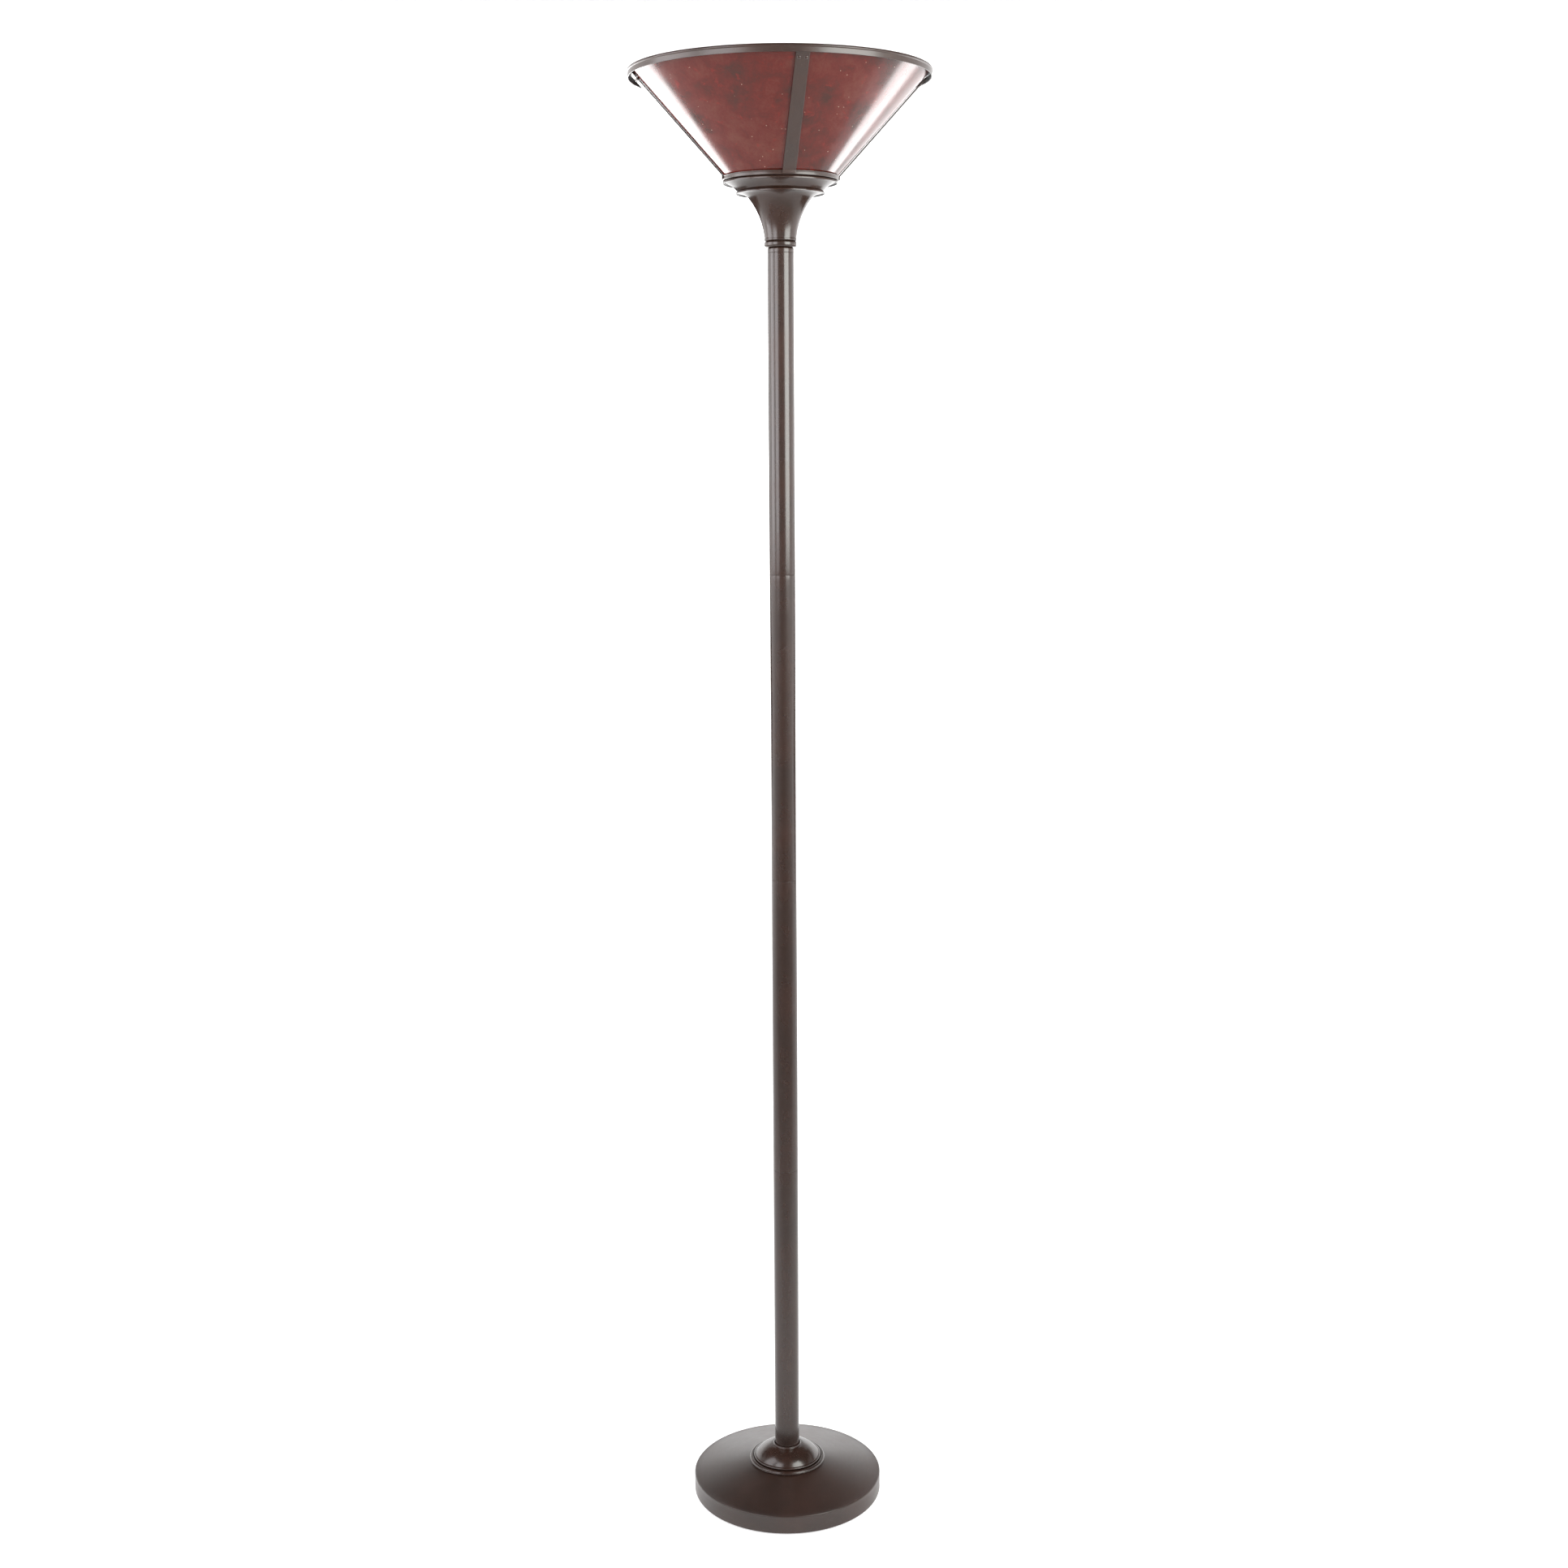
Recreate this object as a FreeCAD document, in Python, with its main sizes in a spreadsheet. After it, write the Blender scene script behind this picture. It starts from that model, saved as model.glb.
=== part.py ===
import FreeCAD, Part
import math
import os

import Sketcher

# Torchiere floor lamp. The origin is on the floor under the axis of the pole, +Z is up and the
# front of the lamp faces -Y. Lengths are millimetres and angles are degrees.

document = FreeCAD.newDocument("TorchiereFloorLamp")
size = document.addObject("Spreadsheet::Sheet", "Size")

DIMENSIONS = {
    # Base
    "felt_radius": 117.0,
    "felt_thickness": 1.5,
    "base_radius": 122.5,
    "base_edge_height": 25.5,
    "base_edge_round": 1.6,
    "base_sheet": 1.5,
    "boss_height": 41.0,
    "boss_radius": 49.6,
    "weight_radius": 118.0,
    "weight_thickness": 14.0,
    "hub_radius": 34.0,
    "recess_radius": 24.0,
    "recess_depth": 33.0,
    "bead_inner_radius": 38.0,
    "bead_foot_radius": 48.3,
    "bead_top_radius": 47.0,
    "bead_round": 2.6,
    "bead_height": 4.6,
    "dome_foot_radius": 43.0,
    "dome_radius": 44.0,
    "dome_waist": 0.8,
    "dome_shoulder_radius": 41.4,
    "dome_shoulder_height": 3.0,
    "dome_side_round": 2.2,
    "dome_crown_round": 57.0,
    "dome_collar_radius": 17.6,
    "dome_collar_foot": 16.6,
    "dome_height": 18.4,
    "outlet_height": 10.0,
    "outlet_angle": 101.0,
    "outlet_radius": 5.5,
    "bushing_flange_radius": 7.5,
    "bushing_flange": 2.2,
    "bushing_inside": 2.6,
    "bushing_bore": 2.7,
    # Threaded tube, nuts and washers
    "nipple_radius": 5.0,
    "nipple_bore": 3.5,
    "base_nipple_bottom": 26.5,
    "base_nipple_top": 80.0,
    "base_nut_radius": 10.0,
    "base_nut_thickness": 5.0,
    "base_washer_radius": 20.0,
    "base_washer_thickness": 1.5,
    "neck_nipple_bottom": 1575.0,
    "neck_nipple_top": 1672.0,
    "dish_washer_radius": 14.0,
    "dish_washer_thickness": 1.0,
    "dish_nut_radius": 9.0,
    "dish_nut_thickness": 3.2,
    # Pole
    "pole_radius": 15.875,
    "tube_wall": 1.2,
    "pole_bottom": 60.5,
    "pole_top": 1592.1,
    "foot_spigot": 24.0,
    "coupling_length": 60.0,
    "coupling_bore": 9.0,
    "cap_spigot": 22.0,
    "cap_height": 6.3,
    "cap_round": 2.4,
    # Neck
    "neck_bead_radius": 19.4,
    "neck_bead_foot": 17.0,
    "neck_bead_top": 18.2,
    "neck_bead_round": 2.6,
    "neck_bead_height": 7.2,
    "spun_sheet": 1.2,
    "bell_foot_radius": 18.6,
    "bell_radius": 19.3,
    "bell_foot_height": 1.6,
    "bell_flare_start": 5.2,
    "bell_flare_round": 87.0,
    "bell_throat_radius": 38.5,
    "bell_throat_height": 50.7,
    "bell_flange_round": 20.0,
    "bell_flange_radius": 50.4,
    "bell_height": 55.4,
    "bell_lip_radius": 52.2,
    "bell_lip_drop": 0.8,
    "bell_lip_height": 1.8,
    "dish_floor_radius": 49.6,
    "dish_heel_radius": 51.6,
    "dish_heel_height": 1.2,
    "dish_flare_round": 27.0,
    "dish_brim_radius": 66.6,
    "dish_height": 11.1,
    "dish_lip_radius": 67.4,
    "dish_lip_drop": 0.5,
    "dish_lip_height": 2.5,
    # Socket and switch
    "cap_hub_radius": 7.2,
    "cap_hub_height": 3.6,
    "cap_shoulder_height": 10.2,
    "cap_top_height": 13.6,
    "cap_outer_radius": 18.6,
    "shell_outer_radius": 17.8,
    "shell_wall": 0.8,
    "shell_bottom": 11.0,
    "shell_height": 38.4,
    "liner_wall": 0.8,
    "liner_height": 37.5,
    "body_neck_radius": 8.5,
    "body_neck_bottom": 5.9,
    "body_radius": 15.6,
    "body_step": 11.2,
    "body_top": 22.0,
    "screw_shell_radius": 13.4,
    "screw_shell_wall": 0.6,
    "screw_shell_height": 24.0,
    "contact_radius": 3.0,
    "contact_thickness": 0.8,
    "terminal_radius": 1.8,
    "terminal_thickness": 1.6,
    "terminal_height": 8.6,
    "switch_height": 17.0,
    "stem_radius": 2.2,
    "stem_clearance": 0.5,
    "stem_start": 6.0,
    "knob_start": 25.0,
    "knob_radius": 7.0,
    "knob_length": 13.0,
    "knob_bore_depth": 10.0,
    # Bulb, measured up from the underside of its centre contact
    "bulb_contact_radius": 4.5,
    "bulb_contact_height": 1.4,
    "bulb_insulator_height": 4.0,
    "bulb_gap": 0.3,
    "bulb_cap_foot": 10.5,
    "bulb_cap_radius": 13.0,
    "bulb_cap_bevel": 1.6,
    "bulb_cap_height": 22.0,
    "bulb_cap_wall": 0.5,
    "bulb_neck_radius": 12.0,
    "bulb_throat_radius": 12.2,
    "bulb_throat_height": 8.0,
    "bulb_flare_round": 72.6,
    "bulb_waist_radius": 24.6,
    "bulb_waist_height": 36.8,
    "bulb_radius": 30.0,
    "bulb_crown": 1.0,
    "bulb_glass_height": 84.0,
    "bulb_glass_wall": 0.8,
    "bulb_glass_bottom": 21.4,
    # Shade
    "shade_gap": 0.3,
    "total_height": 1800.0,
    "ring_radius": 69.4,
    "ring_height": 5.1,
    "ring_skirt_radius": 58.0,
    "ring_skirt_drop": 2.6,
    "rim_radius": 179.1,
    "rim_height": 9.0,
    "rim_round": 1.6,
    "rim_inner_radius": 170.5,
    "rim_inner_leg": 4.0,
    "cone_slope": 0.913,
    "mica_foot_radius": 63.3,
    "mica_start": 1.8,
    "mica_end": 122.2,
    "mica_thickness": 1.5,
    "panel_gap": 0.4,
    "panel_count": 4,
    "strap_start": 1.2,
    "strap_bend": 5.2,
    "strap_end": 121.4,
    "strap_width": 16.0,
    "strap_thickness": 1.2,
    "strap_angle": -81.4,
    "rivet_height": 112.0,
    "rivet_spacing": 8.0,
    "rivet_shank": 1.3,
    "rivet_head": 2.4,
    "rivet_head_height": 1.1,
    "rivet_head_round": 3.2,
    "rivet_crown": 0.4,
    "rivet_tail": 2.2,
    "rivet_tail_height": 0.8,
    "rivet_grip": 3.8,
    "rivet_clearance": 0.1,
    # Wire inside the lamp
    "wire_radius": 2.4,
    "wire_bend": 16.0,
    "wire_top": 1671.0,
}

TUBE_COUNT = 4
TUBE_LENGTH = f"(Size.pole_top - Size.pole_bottom) / {TUBE_COUNT}"
TUBE_BORE = "Size.pole_radius - Size.tube_wall"
BEAD_TOP = "Size.boss_height + Size.bead_height"
CAP_TOP = "Size.pole_top + Size.cap_height"
BELL_BOTTOM = f"{CAP_TOP} + Size.neck_bead_height"
DISH_BOTTOM = f"{BELL_BOTTOM} + Size.bell_height + Size.spun_sheet"
DISH_FLOOR = f"{DISH_BOTTOM} + Size.spun_sheet"
DISH_NUT_BOTTOM = f"{DISH_FLOOR} + Size.dish_washer_thickness"
SOCKET_BOTTOM = f"{DISH_NUT_BOTTOM} + Size.dish_nut_thickness"
CONTACT_TOP = f"{SOCKET_BOTTOM} + Size.body_top + Size.contact_thickness"
BULB_BOTTOM = f"{CONTACT_TOP} + Size.bulb_gap"
SHADE_BOTTOM = f"{DISH_FLOOR} + Size.dish_height + Size.shade_gap"
SWITCH_AXIS = f"{SOCKET_BOTTOM} + Size.switch_height"
LINER_BORE = "Size.shell_outer_radius - Size.shell_wall - Size.liner_wall"

UPRIGHT = FreeCAD.Rotation(FreeCAD.Vector(1, 0, 0), 90)
UP = FreeCAD.Vector(0, 0, 1)
ALONG_X = FreeCAD.Rotation(FreeCAD.Vector(0, 1, 0), 90)
ORIGIN_POINT = (-1, 1)
HEIGHT_AXIS = -2
RADIUS_AXIS = -1

sub_parts = []


def fill_sheet():
    for row, (alias, number) in enumerate(DIMENSIONS.items(), start=1):
        size.set(f"A{row}", alias)
        size.set(f"B{row}", str(number))
        size.setAlias(f"B{row}", alias)
    document.recompute()


def value(expression):
    return float(size.evalExpression(expression))


def arc_between(start, end, bend):
    """The shorter arc of radius abs(bend); it turns left on the way when bend is positive."""
    chord = end - start
    left = FreeCAD.Vector(-chord.y, chord.x, 0).normalize()
    reach = math.sqrt(bend ** 2 - chord.Length ** 2 / 4)
    centre = (start + end) / 2 + left * math.copysign(reach, bend)
    first, last = (start, end) if bend > 0 else (end, start)
    circle = Part.Circle(centre, UP, abs(bend))
    angles = [math.atan2(point.y - centre.y, point.x - centre.x) for point in (first, last)]
    return Part.ArcOfCircle(circle, *angles)


def bind_length(sketch, kind, point, expression):
    """Hold one coordinate of a sketch point at a value from the sheet."""
    length = value(expression)
    if abs(length) < 1e-9:
        axis = HEIGHT_AXIS if kind == "DistanceX" else RADIUS_AXIS
        sketch.addConstraint(Sketcher.Constraint("PointOnObject", *point, axis))
        return
    index = sketch.addConstraint(Sketcher.Constraint(kind, *ORIGIN_POINT, *point, length))
    sketch.setExpression(f"Constraints[{index}]", expression)


def draw(sketch, corners, closed):
    """Join the corners with lines and arcs, each corner and bend bound to the sheet.

    A corner is (radius, height), or (radius, height, bend) where an arc arrives at it.
    """
    points = [FreeCAD.Vector(value(corner[0]), value(corner[1]), 0) for corner in corners]
    ends = list(range(1, len(corners))) + ([0] if closed else [])
    previous = None
    first_start = None
    for index, end in enumerate(ends):
        start = index
        bend = corners[end][2] if len(corners[end]) == 3 else None
        if bend is None:
            sketch.addGeometry(Part.LineSegment(points[start], points[end]))
            start_point, end_point = (index, 1), (index, 2)
        else:
            turn = value(bend)
            sketch.addGeometry(arc_between(points[start], points[end], turn))
            start_point, end_point = ((index, 1), (index, 2)) if turn > 0 else ((index, 2), (index, 1))
            radius = sketch.addConstraint(Sketcher.Constraint("Radius", index, abs(turn)))
            sketch.setExpression(f"Constraints[{radius}]", f"abs({bend})")
        if previous is None:
            first_start = start_point
        else:
            sketch.addConstraint(Sketcher.Constraint("Coincident", *previous, *start_point))
        bind_length(sketch, "DistanceX", start_point, corners[start][0])
        bind_length(sketch, "DistanceY", start_point, corners[start][1])
        previous = end_point
    if closed:
        sketch.addConstraint(Sketcher.Constraint("Coincident", *previous, *first_start))
    else:
        bind_length(sketch, "DistanceX", previous, corners[-1][0])
        bind_length(sketch, "DistanceY", previous, corners[-1][1])


def finish(part, label, height="0", turn="0"):
    """Name a sub-part, lift it to its height and turn it about the pole's axis."""
    part.Label = label
    part.setExpression("Placement.Base.z", height)
    part.setExpression("Placement.Rotation.Angle", turn)
    sub_parts.append(part)
    return part


def lay_along_x(part, label, height):
    """Name a sub-part made about its own axis and lay that axis along +X."""
    part.Label = label
    part.Placement = FreeCAD.Placement(FreeCAD.Vector(), ALONG_X)
    part.setExpression("Placement.Base.z", height)
    sub_parts.append(part)


def origin_plane(body, role):
    return next(plane for plane in body.Origin.OriginFeatures if plane.Role == role)


def body_sketch(body, role, name):
    sketch = body.newObject("Sketcher::SketchObject", name)
    sketch.AttachmentSupport = (origin_plane(body, role), [""])
    sketch.MapMode = "FlatFace"
    return sketch


def turned_body(label, corners):
    """A solid of revolution about Z with a closed outline."""
    body = document.addObject("PartDesign::Body", label + "_body")
    outline = body_sketch(body, "XZ_Plane", label + "_outline")
    draw(outline, corners, closed=True)
    revolution = body.newObject("PartDesign::Revolution", label + "_revolution")
    revolution.Profile = outline
    revolution.ReferenceAxis = (outline, ["V_Axis"])
    revolution.Angle = 360
    outline.Visibility = False
    body.Tip = revolution
    return body


def turned(label, corners, height="0", turn="0"):
    return finish(turned_body(label, corners), label, height, turn)


def tube(label, bore, radius, length, height):
    return turned(label, [(bore, "0"), (radius, "0"), (radius, length), (bore, length)], height)


def path_sketch(label, corners, closed=False):
    sketch = document.addObject("Sketcher::SketchObject", label + "_path")
    sketch.Placement = FreeCAD.Placement(FreeCAD.Vector(), UPRIGHT)
    draw(sketch, corners, closed)
    return sketch


def sheet_band(label, path, thickness):
    """The section of a sheet whose shown face follows the path, with the metal on its left."""
    band = document.addObject("Part::Offset2D", label + "_band")
    band.Source = path_sketch(label, path)
    band.Mode = "Skin"
    band.Join = "Arc"
    band.Fill = True
    band.setExpression("Value", thickness)
    return band


def revolve(name, source, angle="360"):
    revolution = document.addObject("Part::Revolution", name)
    revolution.Source = source
    revolution.Base = FreeCAD.Vector()
    revolution.Axis = UP
    revolution.setExpression("Angle", angle)
    return revolution


def spun(label, path, thickness, height, turn="0"):
    return finish(revolve(label, sheet_band(label, path, thickness)), label, height, turn)


def cut(name, base, tools):
    """Take the tools out of the base, one after the other."""
    for number, tool in enumerate(tools, start=1):
        result = document.addObject("Part::Cut", f"{name}_cut_{number}")
        result.Base = base
        result.Tool = tool
        base = result
    return base


def cylinder(name, radius, length, placement=FreeCAD.Placement()):
    rod = document.addObject("Part::Cylinder", name)
    rod.Placement = placement
    rod.setExpression("Radius", radius)
    rod.setExpression("Height", length)
    return rod


def hex_nut(label, circumradius, thickness, height):
    prism = document.addObject("Part::Prism", label + "_prism")
    prism.Polygon = 6
    prism.setExpression("Circumradius", circumradius)
    prism.setExpression("Height", thickness)
    bore = cylinder(label + "_bore", "Size.nipple_radius", thickness)
    finish(cut(label, prism, [bore]), label, height)


def make_base_cover():
    edge = "Size.base_edge_height"
    path = [
        ("Size.base_radius", "Size.felt_thickness"),
        ("Size.base_radius", f"{edge} - Size.base_edge_round"),
        ("Size.base_radius - Size.base_edge_round", edge, "Size.base_edge_round"),
        ("Size.boss_radius", "Size.boss_height"),
        ("Size.nipple_radius", "Size.boss_height"),
    ]
    spinning = revolve("base_cover_sheet", sheet_band("base_cover", path, "Size.base_sheet"))
    inside = value("Size.base_radius - 2 * Size.base_sheet")
    start = FreeCAD.Vector(inside, 0, value("Size.outlet_height"))
    drill = cylinder("base_cover_drill", "Size.outlet_radius", "4 * Size.base_sheet",
                     FreeCAD.Placement(start, ALONG_X))
    finish(cut("base_cover", spinning, [drill]), "base_cover", turn="Size.outlet_angle")


def make_base_weight():
    """An iron plate with a hub, a recess for the nut and a groove for the wire."""
    hub_top = "Size.boss_height - Size.base_sheet - Size.felt_thickness"
    body = turned_body("base_weight", [
        ("Size.recess_radius", "0"),
        ("Size.weight_radius", "0"),
        ("Size.weight_radius", "Size.weight_thickness"),
        ("Size.hub_radius", "Size.weight_thickness"),
        ("Size.hub_radius", hub_top),
        ("Size.nipple_radius", hub_top),
        ("Size.nipple_radius", "Size.recess_depth"),
        ("Size.recess_radius", "Size.recess_depth"),
    ])
    document.recompute()
    whole = body.Shape.Volume
    groove = body_sketch(body, "XY_Plane", "base_weight_groove")
    half_width = "Size.outlet_radius"
    start, end = "Size.recess_radius / 2", "Size.weight_radius + 1"
    draw(groove, [(start, f"-({half_width})"), (end, f"-({half_width})"),
                  (end, half_width), (start, half_width)], closed=True)
    pocket = body.newObject("PartDesign::Pocket", "base_weight_pocket")
    pocket.Profile = groove
    pocket.Reversed = True
    pocket.setExpression("Length", "Size.weight_thickness")
    body.Tip = pocket
    document.recompute()
    if body.Shape.Volume > whole - 1:
        raise RuntimeError("the wire groove cuts nothing")
    finish(body, "base_weight", "Size.felt_thickness", "Size.outlet_angle")


def make_base_trim():
    turned("base_bead", [
        ("Size.bead_inner_radius", "0"),
        ("Size.bead_foot_radius", "0"),
        ("Size.bead_top_radius", "Size.bead_height", "Size.bead_round"),
        ("Size.bead_inner_radius", "Size.bead_height"),
    ], "Size.boss_height")
    spun("base_dome", [
        ("Size.dome_foot_radius", "0"),
        ("Size.dome_radius", "Size.dome_waist"),
        ("Size.dome_shoulder_radius", "Size.dome_shoulder_height", "Size.dome_side_round"),
        ("Size.dome_collar_radius", "Size.dome_collar_foot", "Size.dome_crown_round"),
        ("Size.dome_collar_radius", "Size.dome_height"),
    ], "Size.base_sheet", BEAD_TOP)


def make_base_fastening():
    ceiling = "Size.felt_thickness + Size.recess_depth"
    washer = f"{ceiling} - Size.base_washer_thickness"
    tube("base_nipple", "Size.nipple_bore", "Size.nipple_radius",
         "Size.base_nipple_top - Size.base_nipple_bottom", "Size.base_nipple_bottom")
    tube("base_washer", "Size.nipple_radius", "Size.base_washer_radius",
         "Size.base_washer_thickness", washer)
    hex_nut("base_nut", "Size.base_nut_radius", "Size.base_nut_thickness",
            f"{washer} - Size.base_nut_thickness")


def make_cord_bushing():
    barrel = "Size.base_sheet + Size.bushing_inside"
    length = f"{barrel} + Size.bushing_flange"
    body = turned_body("cord_bushing", [
        ("Size.bushing_bore", "0"),
        ("Size.outlet_radius", "0"),
        ("Size.outlet_radius", barrel),
        ("Size.bushing_flange_radius", barrel),
        ("Size.outlet_radius", length),
        ("Size.bushing_bore", length),
    ])
    body.Label = "cord_bushing"
    around = FreeCAD.Rotation(UP, value("Size.outlet_angle"))
    body.Placement = FreeCAD.Placement(FreeCAD.Vector(), around * ALONG_X)
    inside = f"(Size.base_radius - ({barrel}))"
    body.setExpression("Placement.Base.x", f"{inside} * cos(Size.outlet_angle)")
    body.setExpression("Placement.Base.y", f"{inside} * sin(Size.outlet_angle)")
    body.setExpression("Placement.Base.z", "Size.outlet_height")
    sub_parts.append(body)


def make_base():
    finish(cylinder("base_felt_disc", "Size.felt_radius", "Size.felt_thickness"), "base_felt")
    make_base_cover()
    make_base_weight()
    make_base_trim()
    make_base_fastening()
    make_cord_bushing()


def make_pole():
    foot_height = "Size.pole_bottom - Size.boss_height"
    foot_top = f"{foot_height} + Size.foot_spigot"
    turned("pole_foot", [
        ("Size.nipple_radius", "0"),
        ("Size.pole_radius", "0"),
        ("Size.pole_radius", foot_height),
        (TUBE_BORE, foot_height),
        (TUBE_BORE, foot_top),
        ("Size.nipple_radius", foot_top),
    ], "Size.boss_height")
    for number in range(TUBE_COUNT):
        bottom = f"Size.pole_bottom + {number} * {TUBE_LENGTH}"
        tube(f"pole_tube_{number + 1}", TUBE_BORE, "Size.pole_radius", TUBE_LENGTH, bottom)
        if number:
            tube(f"pole_coupling_{number}", "Size.coupling_bore", TUBE_BORE,
                 "Size.coupling_length", f"{bottom} - Size.coupling_length / 2")
    shoulder = "Size.cap_spigot + Size.cap_height"
    turned("pole_top_cap", [
        ("Size.nipple_radius", "0"),
        (TUBE_BORE, "0"),
        (TUBE_BORE, "Size.cap_spigot"),
        ("Size.pole_radius", "Size.cap_spigot"),
        ("Size.pole_radius", f"{shoulder} - Size.cap_round"),
        ("Size.pole_radius - Size.cap_round", shoulder, "Size.cap_round"),
        ("Size.nipple_radius", shoulder),
    ], "Size.pole_top - Size.cap_spigot")


def make_neck():
    bulge = "Size.neck_bead_round"
    turned("neck_bead", [
        ("Size.nipple_radius", "0"),
        ("Size.neck_bead_foot", "0"),
        ("Size.neck_bead_radius", bulge, bulge),
        ("Size.neck_bead_radius", f"Size.neck_bead_height - {bulge}"),
        ("Size.neck_bead_top", "Size.neck_bead_height", bulge),
        ("Size.nipple_radius", "Size.neck_bead_height"),
    ], CAP_TOP)
    lip_top = "Size.bell_height - Size.bell_lip_drop"
    spun("neck_bell", [
        ("Size.bell_foot_radius", "0"),
        ("Size.bell_radius", "Size.bell_foot_height"),
        ("Size.bell_radius", "Size.bell_flare_start"),
        ("Size.bell_throat_radius", "Size.bell_throat_height", "-Size.bell_flare_round"),
        ("Size.bell_flange_radius", "Size.bell_height", "-Size.bell_flange_round"),
        ("Size.bell_lip_radius", lip_top),
        ("Size.bell_lip_radius", "Size.bell_height - Size.bell_lip_height"),
    ], "Size.spun_sheet", BELL_BOTTOM)
    spun("shade_dish", [
        ("Size.nipple_radius", "0"),
        ("Size.dish_floor_radius", "0"),
        ("Size.dish_heel_radius", "Size.dish_heel_height"),
        ("Size.dish_brim_radius", "Size.dish_height", "-Size.dish_flare_round"),
        ("Size.dish_lip_radius", "Size.dish_height - Size.dish_lip_drop"),
        ("Size.dish_lip_radius", "Size.dish_height - Size.dish_lip_height"),
    ], "Size.spun_sheet", DISH_BOTTOM)
    tube("neck_nipple", "Size.nipple_bore", "Size.nipple_radius",
         "Size.neck_nipple_top - Size.neck_nipple_bottom", "Size.neck_nipple_bottom")
    tube("dish_washer", "Size.nipple_radius", "Size.dish_washer_radius",
         "Size.dish_washer_thickness", DISH_FLOOR)
    hex_nut("dish_nut", "Size.dish_nut_radius", "Size.dish_nut_thickness", DISH_NUT_BOTTOM)


def stem_drill(name, start):
    """The hole that the switch stem passes through, in a piece that starts at the given height."""
    height = value("Size.switch_height") - value(start)
    place = FreeCAD.Placement(FreeCAD.Vector(value("Size.stem_start") - 1, 0, height), ALONG_X)
    return cylinder(name, "Size.stem_radius + Size.stem_clearance", "Size.cap_outer_radius", place)


def drilled_tube(label, bore, radius, length, start):
    corners = [(bore, "0"), (radius, "0"), (radius, length), (bore, length)]
    drilled = cut(label, turned_body(label, corners), [stem_drill(label + "_drill", start)])
    finish(drilled, label, f"{SOCKET_BOTTOM} + {start}")


def make_socket():
    wall = "Size.shell_wall"
    turned("socket_cap", [
        ("Size.nipple_radius", "0"),
        ("Size.cap_hub_radius", "0"),
        ("Size.cap_hub_radius", "Size.cap_hub_height"),
        ("Size.cap_outer_radius", "Size.cap_shoulder_height"),
        ("Size.cap_outer_radius", "Size.cap_top_height"),
        ("Size.shell_outer_radius", "Size.cap_top_height"),
        ("Size.shell_outer_radius", f"Size.cap_shoulder_height + {wall}"),
        ("Size.cap_hub_radius", f"Size.cap_hub_height + {wall}"),
        ("Size.nipple_radius", f"Size.cap_hub_height + {wall}"),
    ], SOCKET_BOTTOM)
    shell_bore = "Size.shell_outer_radius - Size.shell_wall"
    drilled_tube("socket_shell", shell_bore, "Size.shell_outer_radius", "Size.shell_height",
                 "Size.shell_bottom")
    drilled_tube("socket_liner", LINER_BORE, shell_bore, "Size.liner_height", "Size.shell_bottom")
    block = turned_body("switch_body", [
        ("0", "Size.body_neck_bottom"),
        ("Size.body_neck_radius", "Size.body_neck_bottom"),
        ("Size.body_neck_radius", "Size.body_step"),
        ("Size.body_radius", "Size.body_step"),
        ("Size.body_radius", "Size.body_top"),
        ("0", "Size.body_top"),
    ])
    finish(cut("switch_body", block, [stem_drill("switch_body_drill", "0")]),
           "switch_body", SOCKET_BOTTOM)
    tube("screw_shell", "Size.screw_shell_radius", "Size.screw_shell_radius + Size.screw_shell_wall",
         "Size.screw_shell_height", f"{SOCKET_BOTTOM} + Size.body_top")
    finish(cylinder("centre_contact_disc", "Size.contact_radius", "Size.contact_thickness"),
           "centre_contact", f"{SOCKET_BOTTOM} + Size.body_top")
    make_terminal_screws()


def make_terminal_screws():
    heads = []
    for number in range(2):
        around = FreeCAD.Rotation(UP, 90 + 180 * number)
        reach = FreeCAD.Vector(value("Size.body_neck_radius"), 0, 0)
        place = FreeCAD.Placement(around.multVec(reach), around * ALONG_X)
        heads.append(cylinder(f"terminal_{number + 1}", "Size.terminal_radius",
                              "Size.terminal_thickness", place))
    group = document.addObject("Part::Compound", "terminal_group")
    group.Links = heads
    finish(group, "terminal_screws", f"{SOCKET_BOTTOM} + Size.terminal_height")


def make_switch():
    stem = cylinder("stem_rod", "Size.stem_radius",
                    "Size.knob_start + Size.knob_bore_depth - Size.stem_start")
    lay_along_x(stem, "switch_stem", SWITCH_AXIS)
    stem.setExpression("Placement.Base.x", "Size.stem_start")
    knob = turned_body("switch_knob", [
        ("Size.stem_radius", "0"),
        ("0.7 * Size.knob_radius", "0"),
        ("Size.knob_radius", "0.3 * Size.knob_radius"),
        ("Size.knob_radius", "Size.knob_length - 0.15 * Size.knob_radius"),
        ("0.85 * Size.knob_radius", "Size.knob_length"),
        ("0", "Size.knob_length"),
        ("0", "Size.knob_bore_depth"),
        ("Size.stem_radius", "Size.knob_bore_depth"),
    ])
    lay_along_x(knob, "switch_knob", SWITCH_AXIS)
    knob.setExpression("Placement.Base.x", "Size.knob_start")


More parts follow.
